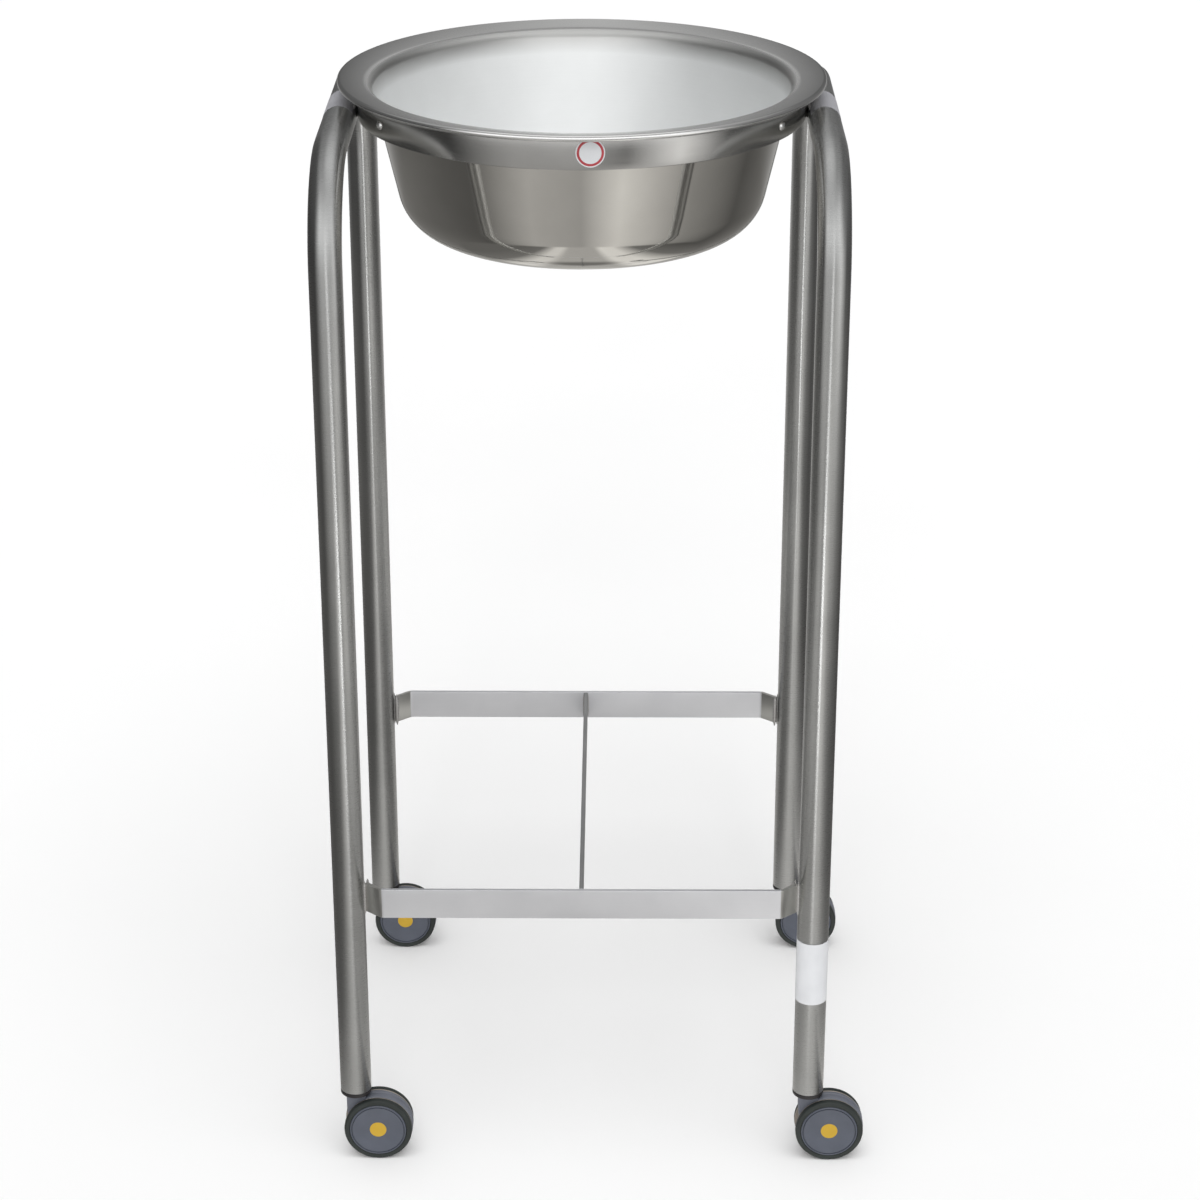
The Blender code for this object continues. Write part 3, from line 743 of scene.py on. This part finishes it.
def caster_socket(place):
    """The black plug's flange under the leg, with its spigot inside the tube."""
    x, y = place
    flange_top = SOCKET_LOW_Z + SOCKET_FLANGE_HEIGHT
    spigot_r = TUBE_R - TUBE_WALL - SEAT_GAP
    edge = SOCKET_EDGE
    line = [(STEM_HOLE_R, SOCKET_LOW_Z), (TUBE_R - edge, SOCKET_LOW_Z)]
    line += arc((TUBE_R - edge, SOCKET_LOW_Z + edge), edge, -math.pi / 2, 0, 5)
    line += arc((TUBE_R - edge, flange_top - edge), edge, 0, math.pi / 2, 5)
    line += [(spigot_r, flange_top), (spigot_r, SOCKET_TOP_Z - 0.001), (spigot_r - 0.001, SOCKET_TOP_Z)]
    line += [(STEM_HOLE_R, SOCKET_TOP_Z), (STEM_HOLE_R, SOCKET_LOW_Z)]
    points = [(x + r, y, z) for r, z in line]
    plug = spin_line("caster_socket", points, (x, y, 0), (0, 0, 1), TUBE_SIDES)
    return put_down(plug)


def hood_line():
    """(x, z) round the hood's side, from the stem's axis: neck, toe and round back."""
    back_r = WHEEL_R + HOOD_GAP
    meet = math.acos((HOOD_NECK_R - CASTER_TRAIL) / back_r)
    line = [(-HOOD_NECK_R, HOOD_TOP_Z), (-HOOD_NECK_R, HOOD_NECK_LOW_Z)]
    line += [(HOOD_TOE_INSET - HOOD_NECK_R, HOOD_TOE_Z)]
    line += arc((CASTER_TRAIL, AXLE_Z), back_r, HOOD_ARC_START, meet, 36)
    return line + [(HOOD_NECK_R, HOOD_TOP_Z), (-HOOD_NECK_R, HOOD_TOP_Z)]


def caster_hood(place):
    """The hood between the wheels: its outline filled and pushed across in steps, with eased edges and
    a shallow groove round its back."""
    x, y = place
    axle = (x + CASTER_TRAIL, y, AXLE_Z)
    half = HOOD_WIDTH / 2
    # How far across each step is, and the size of the outline there.
    steps = [
        (-half, 0.965),
        (-half + 0.0004, 0.985),
        (-half + 0.0013, 1.0),
        (-0.0019, 1.0),
        (-0.0014, 0.978),
        (0.0014, 0.978),
        (0.0019, 1.0),
        (half - 0.0013, 1.0),
        (half - 0.0004, 0.985),
        (half, 0.965),
    ]
    points = [(x + px, y - half, z) for px, z in hood_line()]
    shell = draw_line("caster_hood", points)
    bpy.ops.mesh.select_all(action="SELECT")
    bpy.ops.mesh.remove_doubles(threshold=0.00001)
    bpy.ops.mesh.edge_face_add()
    size = 1.0
    at = -half
    for to, new_size in steps:
        if to > at:
            push((0, to - at, 0))
        ratio = new_size / size
        bpy.ops.transform.resize(value=(ratio, 1, ratio), center_override=axle)
        size = new_size
        at = to
    close_seams()
    return put_down(shell, 28)


def swivel_collar(place):
    """The round collar on the hood's neck."""
    x, y = place
    low = HOOD_TOP_Z - COLLAR_HEIGHT
    edge = COLLAR_EDGE
    line = [(COLLAR_BORE_R, low), (COLLAR_R - edge, low), (COLLAR_R, low + edge)]
    line += [(COLLAR_R, HOOD_TOP_Z - edge), (COLLAR_R - edge, HOOD_TOP_Z), (COLLAR_BORE_R, HOOD_TOP_Z)]
    line += [(COLLAR_BORE_R, low)]
    points = [(x + r, y, z) for r, z in line]
    collar = spin_line("swivel_collar", points, (x, y, 0), (0, 0, 1), COLLAR_STEPS)
    return put_down(collar)


def wheel_part(name, place, line, smooth=30.0):
    """A part of the wheel on the front side: (radius, width from the wheel's inner side) spun on the axle."""
    x, y = place
    inner = y - WHEEL_INNER_Y
    points = [(x + CASTER_TRAIL, inner - w, AXLE_Z + r) for r, w in line]
    part = spin_line(name, points, (x + CASTER_TRAIL, inner, AXLE_Z), (0, 1, 0), WHEEL_STEPS)
    return put_down(part, smooth)


def wheel_hub(place):
    """The hub disc: a shallow dish with a raised ring near its edge and a fine step outside it."""
    face = HUB_WIDTH - 0.0007
    line = [(0.0, face - 0.0005), (0.008, face - 0.0005), (0.0086, face - 0.0002)]
    line += [(HUB_R - 0.0030, face), (HUB_R - 0.0024, face + 0.0004), (HUB_R - 0.0021, face + 0.0004)]
    line += [(HUB_R - 0.0019, face - 0.0006), (HUB_R - 0.0014, face - 0.0006)]
    line += [(HUB_R - 0.0012, HUB_WIDTH - 0.0002), (HUB_R - 0.0010, HUB_WIDTH)]
    line += [(HUB_R - 0.0005, HUB_WIDTH), (HUB_R, HUB_WIDTH - 0.0005), (HUB_R, 0.0)]
    line += [(HUB_BORE_R, 0.0), (HUB_BORE_R, HUB_WIDTH - 0.0020), (0.0, HUB_WIDTH - 0.0020)]
    return wheel_part("wheel_hub", place, line, 35)


def wheel_tyre(place):
    """The tyre: a thick ring with round shoulders."""
    inner_r = HUB_R + SEAT_GAP
    outer = TYRE_SHOULDER_R
    inner = TYRE_INNER_EDGE
    low = TYRE_INSET
    line = [(inner_r, low), (WHEEL_R - inner, low)]
    line += arc((WHEEL_R - inner, low + inner), inner, -math.pi / 2, 0, 4)
    line += arc((WHEEL_R - outer, WHEEL_WIDTH - outer), outer, 0, math.pi / 2, 8)
    line += [(inner_r + 0.0003, WHEEL_WIDTH), (inner_r, WHEEL_WIDTH - 0.0003), (inner_r, low)]
    return wheel_part("wheel_tyre", place, line)


def tyre_lip(place):
    """The pale lip on the tyre's inner side."""
    inner_r = HUB_R + SEAT_GAP
    outer_r = WHEEL_R - 0.0002
    line = [(inner_r, 0.0), (outer_r - 0.0003, 0.0), (outer_r, 0.0003), (outer_r, LIP_WIDTH)]
    line += [(inner_r, LIP_WIDTH), (inner_r, 0.0)]
    return wheel_part("tyre_lip", place, line)


def hub_dot(place):
    """The round film dot on the hub's middle."""
    face = HUB_WIDTH - 0.0012
    line = [(0.0, face + PAPER), (DOT_R - 0.0001, face + PAPER), (DOT_R, face), (0.0, face - PAPER)]
    return wheel_part("hub_dot", place, line, 50)


# Labels and stickers.


def leg_label():
    """A blank paper label round the front of the front right leg."""
    clear_selection()
    low, high = LEG_LABEL_Z
    bpy.ops.mesh.primitive_cylinder_add(
        vertices=TUBE_SIDES,
        radius=TUBE_R + LABEL_GAP,
        depth=high - low,
        end_fill_type="NOTHING",
        location=(LEG_X, -LEG_Y, (low + high) / 2),
    )
    label = take_up("leg_label")
    bpy.ops.mesh.bisect(plane_co=(LEG_X, LEG_LABEL_WRAP_Y - LEG_Y, 0), plane_no=(0, 1, 0), clear_outer=True)
    bpy.ops.object.mode_set(mode="OBJECT")
    apply_modifier(label, "SOLIDIFY", thickness=PAPER, offset=1)
    return put_down(label)


def top_label(name, side):
    """A blank film label over the middle of a side frame's top run."""
    clear_selection()
    low, high = TOP_LABEL_Y
    bpy.ops.mesh.primitive_cylinder_add(
        vertices=TUBE_SIDES,
        radius=TUBE_R + LABEL_GAP,
        depth=high - low,
        end_fill_type="NOTHING",
        location=(side * LEG_X, (low + high) / 2, TOP_RUN_Z),
        rotation=(math.pi / 2, 0, 0),
    )
    label = take_up(name)
    inwards, down = TOP_LABEL_FACING
    way = Vector((-side * inwards, 0, -down))
    cut = Vector((side * LEG_X, 0, TOP_RUN_Z)) + way * TOP_LABEL_CUT
    bpy.ops.mesh.bisect(plane_co=cut, plane_no=way, clear_outer=True)
    bpy.ops.object.mode_set(mode="OBJECT")
    apply_modifier(label, "SOLIDIFY", thickness=PAPER, offset=1)
    return put_down(label)


def ring_sticker():
    """A round blank sticker with a coloured rim, bent round the ring's front."""
    x, z = STICKER_PLACE
    line = [(0.0, 0.0)] + [(STICKER_R * i / 24, PAPER) for i in range(24)]
    line += [(STICKER_R - 0.0001, PAPER), (STICKER_R, 0.0)]
    line += [(STICKER_R * i / 6, 0.0) for i in range(5, 0, -1)] + [(0.0, 0.0)]
    points = [(r, -w, 0) for r, w in line]
    sticker = spin_line("ring_sticker", points, (0, 0, 0), (0, 1, 0), STICKER_STEPS)
    put_down(sticker, 50)
    sticker.data.materials.append(WHITE_PAPER)
    sticker.data.materials.append(RED_PRINT)
    for face in sticker.data.polygons:
        reach = math.hypot(face.center.x, face.center.z) / STICKER_R
        on_rim = STICKER_RIM[0] < reach < STICKER_RIM[1]
        face.material_index = 1 if on_rim and face.normal.y < -0.5 else 0
    for vertex in sticker.data.vertices:
        turn = (x + vertex.co.x) / RING_OUTER_R
        radius = RING_OUTER_R + STICKER_GAP - vertex.co.y
        vertex.co = (radius * math.sin(turn), -radius * math.cos(turn), z + vertex.co.z)
    return sticker


# The stand is put together.

tubes = []
for label, side in (("left", -1), ("right", 1)):
    tube = side_tube("tube_" + label, side * LEG_X)
    settle(tube, "frame", SATIN_TUBE, [label + "_side_frame"])
    tubes.append(tube)
    settle(top_label("top_label_" + label, side), "frame", SILVER_PAPER)
band = settle(ring_band(), "frame", RING_STEEL, ["basin_ring"])
bowl = settle(basin_sheet(), "basin", None, ["basin"])

first_rivet = ring_rivet()
for label, angle in RIVET_ANGLES.items():
    turn = Matrix.Rotation(math.radians(angle), 4, "Z")
    rivet = copy_piece(first_rivet, "rivet_" + label, turn)
    settle(rivet, "frame", RIVET_STEEL, ["ring_rivet_" + label])
bpy.data.objects.remove(first_rivet)

for label, side in (("front", -1), ("rear", 1)):
    bar = crossbar("bar_" + label, side)
    settle(bar, "frame", BAR_STEEL, [label + "_crossbar"])
    # The bent ends beyond the set-back get the painted shade.
    bar.data.materials.append(BAR_END_PAINTED_SHADE_STEEL)
    for face in bar.data.polygons:
        face.material_index = 1 if abs(face.center.x) > LEG_X - BAR_SET_BACK_X else 0

bar_mid_z = BAR_LOW_Z + BAR_HEIGHT / 2
bead_half = BAR_HEIGHT / 2 - BRACE_BEAD_SHORT
for label, side in (("front", -1), ("rear", 1)):
    for hand, way in (("left", -1), ("right", 1)):
        end_x, end_y, _ = bar_line(side)[-1]
        before_x, before_y, _ = bar_line(side)[-2]
        along = Vector((end_x - before_x, end_y - before_y)).normalized()
        for face, facing in (("outer", 1), ("inner", -1)):
            out = Vector((-along.y, along.x)) * -side * facing
            spot = Vector((end_x, end_y)) + out * (-BAR_THICKNESS / 2 - BAR_BEAD_OFF)
            x = way * spot.x
            bead = weld_bead(
                f"weld_{label}_{hand}_{face}",
                (x, spot.y, BAR_LOW_Z - BAR_BEAD_PAST_END),
                (x, spot.y, BAR_LOW_Z + BAR_HEIGHT + BAR_BEAD_PAST_END),
                BAR_BEAD_R,
            )
            settle(bead, "frame", WELD_METAL)
    brace_y = side * (BAR_Y - BAR_THICKNESS / 2 - BRACE_BEAD_OFF)
    for hand, way in (("left", -1), ("right", 1)):
        x = way * BRACE_BEAD_X
        bead = weld_bead(
            f"weld_brace_{label}_{hand}",
            (x, brace_y, bar_mid_z - bead_half),
            (x, brace_y, bar_mid_z + bead_half),
            BRACE_BEAD_R,
        )
        settle(bead, "frame", WELD_METAL)
for hand, way in (("left", -1), ("right", 1)):
    for height, (x, z) in RING_WELDS.items():
        start = (way * x, -RING_WELD_HALF, z)
        end = (way * x, RING_WELD_HALF, z)
        bead = weld_bead(f"weld_ring_{hand}_{height}", start, end)
        settle(bead, "frame", WELD_METAL)

home = CORNERS["front_left"]
first_socket = caster_socket(home)
first_hood = caster_hood(home)
first_collar = swivel_collar(home)
first_wheel = {
    "hub": (wheel_hub(home), GREY_PLASTIC, "grey_plastic"),
    "tyre": (wheel_tyre(home), TYRE_RUBBER, "tyre"),
    "lip": (tyre_lip(home), TYRE_LIP, "tyre"),
}
first_dot = hub_dot(home)
mirror = (
    Matrix.Translation((0, home[1], 0))
    @ Matrix.Scale(-1, 4, (0, 1, 0))
    @ Matrix.Translation((0, -home[1], 0))
)
for label, (x, y) in CORNERS.items():
    move = Matrix.Translation((x - home[0], y - home[1], 0))
    socket = copy_piece(first_socket, "plug_" + label, move)
    settle(socket, "frame", BLACK_PLASTIC, ["socket_" + label])
    shell = copy_piece(first_hood, "hood_shell_" + label, move)
    settle(shell, "caster_" + label, HOOD_PLASTIC, ["hood_" + label])
    collar = copy_piece(first_collar, "collar_" + label, move)
    settle(collar, "caster_" + label, HOOD_PLASTIC)
    for side, change in (("near", move), ("far", move @ mirror)):
        body = f"wheel_{label}_{side}"
        for kind, (piece, finish, slot) in first_wheel.items():
            nodes = [f"{kind}_{label}_{side}"] if kind != "lip" else []
            twin = copy_piece(piece, f"wheel_{kind}_{label}_{side}", change)
            settle(twin, body, finish, nodes)
    dot = copy_piece(first_dot, "dot_" + label, move)
    settle(dot, f"wheel_{label}_near", YELLOW_FILM)
for piece in (first_socket, first_hood, first_collar, first_dot):
    bpy.data.objects.remove(piece)
for piece, _, _ in first_wheel.values():
    bpy.data.objects.remove(piece)

settle(leg_label(), "frame", WHITE_PAPER)
settle(ring_sticker(), "frame", None)

KEPT_NODES = {
    "centre_brace": BRACE_STEEL,
    "ring_bumper_": BUMPER_RUBBER,
    "stem_": PLATED_STEEL,
    "grip_ring_": PLATED_STEEL,
    "axle_": PLATED_STEEL,
}
for name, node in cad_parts.items():
    for start, finish in KEPT_NODES.items():
        if name.startswith(start):
            node.data.materials.clear()
            node.data.materials.append(finish)


# Floor, light and camera.

FLOOR_SIZE = 24
FLOOR_Y = 4
clear_selection()
bpy.ops.mesh.primitive_plane_add(size=FLOOR_SIZE, location=(0, FLOOR_Y, 0))
floor = bpy.context.object
floor.name = "floor"
floor_finish, floor_tree, floor_shader = new_finish("floor_paint")
floor_smear = noise(floor_tree, object_place(floor_tree, (1.0, 1.0, 1.0)), 3.0)
floor_tree.links.new(
    shades(floor_tree, floor_smear, (0.3, (0.955, 0.955, 0.955)), (0.7, (0.965, 0.965, 0.965))),
    floor_shader.inputs["Base Color"],
)
floor_shader.inputs["Roughness"].default_value = 0.9
floor_shader.inputs["Specular IOR Level"].default_value = 0.0
floor.data.materials.append(floor_finish)

# A cloth tent that only the gloss of the metal sees. Cloths hung round it have stops of (degrees from
# the front, brightness), and each takes over from the one below it between the two heights in its _Z.
# The legs' cloth is measured round a point behind the axis.
TENT_R = 0.66
TENT_LOW_Z = 0.004
TENT_TOP_Z = 1.35
TENT_STEPS = 128
UPPER_CLOTH_Z = (0.79, 0.87)
UPPER_CLOTH = [
    (-180, 0.5), (-160, 0.1), (-60, 0.1), (-40, 1.2), (40, 1.2), (60, 0.2), (160, 0.1), (180, 0.5),
]
RING_CLOTH_Z = (0.54, 0.60)
RING_CLOTH = [
    (-180, 0.6), (-110, 0.05), (-60, 0.05), (-30, 0.5), (0, 0.5), (20, 0.2), (45, 1.2), (70, 0.1),
    (110, 0.1), (180, 0.6),
]
LEG_CLOTH_BACK = 0.35
LEG_CLOTH_Z = (0.01, 0.08)
LEG_CLOTH = [
    (-180, 0.6), (-110, 0.2), (-45, 0.1), (-20, 0.5), (0, 0.4), (15, 0.8), (45, 0.3), (75, 0.1),
    (110, 0.2), (180, 0.6),
]
# The floor's cloth has (metres to the right, brightness). MIDDLE_CLOTH dims it round a point behind the
# axis, by (share of the tent's radius, factor). The roof has (share of the radius, brightness).
FLOOR_CLOTH = [
    (-0.45, 0.15), (-0.30, 0.2), (-0.20, 0.8), (-0.15, 0.8), (-0.10, 0.5), (0.10, 0.5), (0.15, 0.9),
    (0.25, 0.9), (0.40, 0.2), (0.65, 0.1),
]
MIDDLE_CLOTH_BACK = 0.15
MIDDLE_CLOTH = [(0.0, 0.42), (0.12, 0.42), (0.27, 1.0), (1.0, 1.0)]
ROOF_CLOTH = [(0.0, 0.95), (0.32, 0.85), (0.52, 0.36), (1.0, 0.28)]
ROOF_CLOTH_Z = (TENT_TOP_Z - 0.10, TENT_TOP_Z - 0.001)
LOW_WARMTH = 0.05
RING_WARMTH = 0.02

# The lamps and the camera.
WORLD_DIFFUSE = 0.60
STRIP_ACROSS = (-0.04, 0.09)
STRIP_Y = -1.55
STRIP_Z = 0.01
STRIP_SIZE = (0.10, 2.1)
STRIP_ENERGY = 3.5
CAMERA_PLACE = (0.027768, -2.304376, 1.433985)
CAMERA_DOWN = 0.412
CAMERA_TURN = 0.006
CAMERA_LENS = 90.62

skirt = [(0, 0, TENT_LOW_Z), (TENT_R, 0, TENT_LOW_Z), (TENT_R, 0, TENT_TOP_Z), (0, 0, TENT_TOP_Z)]
tent = spin_line("light_tent", skirt, (0, 0, 0), (0, 0, 1), TENT_STEPS)
bpy.ops.object.mode_set(mode="OBJECT")
tent_finish = bpy.data.materials.new("tent_cloth")
tent_finish.use_nodes = True
tent_tree = tent_finish.node_tree
tent_tree.nodes.remove(tent_tree.nodes["Principled BSDF"])
glow = tent_tree.nodes.new("ShaderNodeEmission")
tent_tree.links.new(glow.outputs["Emission"], tent_tree.nodes["Material Output"].inputs["Surface"])
tent_place = tent_tree.nodes.new("ShaderNodeTexCoord").outputs["Object"]


def tent_gradient(kind, turn, shift, size):
    """A gradient over the tent: RADIAL goes round from the back, SPHERICAL fades out, LINEAR goes across."""
    mapping = tent_tree.nodes.new("ShaderNodeMapping")
    mapping.inputs["Rotation"].default_value = (0, 0, turn)
    mapping.inputs["Location"].default_value = (shift, 0, 0)
    mapping.inputs["Scale"].default_value = size
    tent_tree.links.new(tent_place, mapping.inputs["Vector"])
    node = tent_tree.nodes.new("ShaderNodeTexGradient")
    node.gradient_type = kind
    tent_tree.links.new(mapping.outputs["Vector"], node.inputs["Vector"])
    return node.outputs["Fac"]


def tent_layer(under, over, low, high):
    """One cloth going over to the next between two heights."""
    split = tent_tree.nodes.new("ShaderNodeSeparateXYZ")
    tent_tree.links.new(tent_place, split.inputs["Vector"])
    rise = tent_tree.nodes.new("ShaderNodeMapRange")
    rise.inputs["From Min"].default_value = low
    rise.inputs["From Max"].default_value = high
    tent_tree.links.new(split.outputs["Z"], rise.inputs["Value"])
    blend = tent_tree.nodes.new("ShaderNodeMix")
    blend.data_type = "RGBA"
    tent_tree.links.new(rise.outputs["Result"], blend.inputs["Factor"])
    tent_tree.links.new(under, blend.inputs["A"])
    tent_tree.links.new(over, blend.inputs["B"])
    return blend.outputs["Result"]


def cloth(value, stops, warmth):
    """A cloth's brightness over a gradient, a little warm."""
    tint = (1.0, 1.0 - 0.35 * warmth, 1.0 - warmth)
    return shades(tent_tree, value, *[(at, tuple(level * c for c in tint)) for at, level in stops])


def wrapped(gradient, stops, warmth):
    """A cloth hung round the tent, its stops in degrees from the front."""
    return cloth(gradient, [((a + 180) / 360, level) for a, level in stops], warmth)


round_axis_about = tent_gradient("RADIAL", math.pi / 2, 0, (1, 1, 1))
round_back_about = tent_gradient("RADIAL", math.pi / 2, LEG_CLOTH_BACK, (1, 1, 1))
across_floor = tent_gradient("LINEAR", 0, 0.5, (0.5 / TENT_R, 1, 1))
tent_flat = (1 / TENT_R, 1 / TENT_R, 0)
from_axis = tent_gradient("SPHERICAL", 0, 0, tent_flat)
from_middle = tent_gradient("SPHERICAL", math.pi / 2, MIDDLE_CLOTH_BACK / TENT_R, tent_flat)
middle = cloth(from_middle, [(1 - r, level) for r, level in reversed(MIDDLE_CLOTH)], 0.0)
darker = tent_tree.nodes.new("ShaderNodeMix")
darker.data_type = "RGBA"
darker.blend_type = "MULTIPLY"
darker.inputs["Factor"].default_value = 1.0
floor_stops = [(0.5 + 0.5 * x / TENT_R, level) for x, level in FLOOR_CLOTH]
floor_cloth = cloth(across_floor, floor_stops, LOW_WARMTH)
tent_tree.links.new(floor_cloth, darker.inputs["A"])
tent_tree.links.new(middle, darker.inputs["B"])
tent_colour = darker.outputs["Result"]
tent_colour = tent_layer(tent_colour, wrapped(round_back_about, LEG_CLOTH, LOW_WARMTH), *LEG_CLOTH_Z)
tent_colour = tent_layer(tent_colour, wrapped(round_axis_about, RING_CLOTH, RING_WARMTH), *RING_CLOTH_Z)
tent_colour = tent_layer(tent_colour, wrapped(round_axis_about, UPPER_CLOTH, 0.0), *UPPER_CLOTH_Z)
roof = cloth(from_axis, [(1 - r, level) for r, level in reversed(ROOF_CLOTH)], 0.0)
tent_colour = tent_layer(tent_colour, roof, *ROOF_CLOTH_Z)
tent_tree.links.new(tent_colour, glow.inputs["Color"])
tent.data.materials.append(tent_finish)
tent.visible_camera = False
tent.visible_diffuse = False
tent.visible_shadow = False

world = bpy.data.worlds.new("studio")
bpy.context.scene.world = world
world.use_nodes = True
world_tree = world.node_tree
sky = world_tree.nodes["Background"]
paths = world_tree.nodes.new("ShaderNodeLightPath")
seen = world_tree.nodes.new("ShaderNodeMath")
seen.operation = "MAXIMUM"
world_tree.links.new(paths.outputs["Is Camera Ray"], seen.inputs[0])
world_tree.links.new(paths.outputs["Is Glossy Ray"], seen.inputs[1])
either = world_tree.nodes.new("ShaderNodeMath")
either.operation = "MAXIMUM"
world_tree.links.new(seen.outputs["Value"], either.inputs[0])
world_tree.links.new(paths.outputs["Is Transmission Ray"], either.inputs[1])
strength = world_tree.nodes.new("ShaderNodeMapRange")
strength.inputs["To Min"].default_value = WORLD_DIFFUSE
strength.inputs["To Max"].default_value = 1.0
world_tree.links.new(either.outputs["Value"], strength.inputs["Value"])
world_tree.links.new(strength.outputs["Result"], sky.inputs["Strength"])
sky.inputs["Color"].default_value = (1.0, 1.0, 1.0, 1.0)


def hang_lamp(lamp, *pieces):
    """Puts a lamp in the scene. Where pieces are given, it is screened off to fall on them alone."""
    lamp_object = bpy.data.objects.new(lamp.name, lamp)
    bpy.context.scene.collection.objects.link(lamp_object)
    if pieces:
        lit = bpy.data.collections.new(lamp.name + "_lit")
        for piece in pieces:
            lit.objects.link(piece)
        lamp_object.light_linking.receiver_collection = lit
    return lamp_object


def sun(name, azimuth, elevation, strength, width, *pieces):
    """A distant lamp: azimuth from the front, to the right; width is its size in the sky, in degrees."""
    lamp = bpy.data.lights.new(name, "SUN")
    lamp.energy = strength
    lamp.angle = math.radians(width)
    a, e = math.radians(azimuth), math.radians(elevation)
    towards = Vector((math.sin(a) * math.cos(e), -math.cos(a) * math.cos(e), math.sin(e)))
    hang_lamp(lamp, *pieces).rotation_euler = towards.to_track_quat("Z", "Y").to_euler()


polished = [*tubes, band]
others = [piece for piece in bpy.context.scene.objects if piece.type == "MESH" and piece not in polished]
sun("front_lamp", 1, 30, 0.5, 24, *others)
sun("top_lamp", 10, 70, 1.25, 50, *others)
sun("bowl_lamp", 60, 48, 1.0, 40, bowl)
for tube, across in zip(tubes, STRIP_ACROSS):
    strip = bpy.data.lights.new("strip_lamp", "AREA")
    strip.shape = "RECTANGLE"
    strip.size, strip.size_y = STRIP_SIZE
    strip.energy = STRIP_ENERGY
    strip_object = hang_lamp(strip, tube)
    strip_object.location = (across, STRIP_Y, STRIP_Z)
    strip_object.rotation_euler = (math.pi, 0, 0)
    strip_object.visible_camera = False

camera_data = bpy.data.cameras.new("camera")
camera_data.sensor_width = 36.0
camera_data.lens = CAMERA_LENS
camera = bpy.data.objects.new("camera", camera_data)
camera.location = CAMERA_PLACE
camera.rotation_euler = (math.pi / 2 - CAMERA_DOWN, 0.0, CAMERA_TURN)
bpy.context.scene.collection.objects.link(camera)
bpy.context.scene.camera = camera
bpy.context.scene.view_settings.view_transform = "Standard"
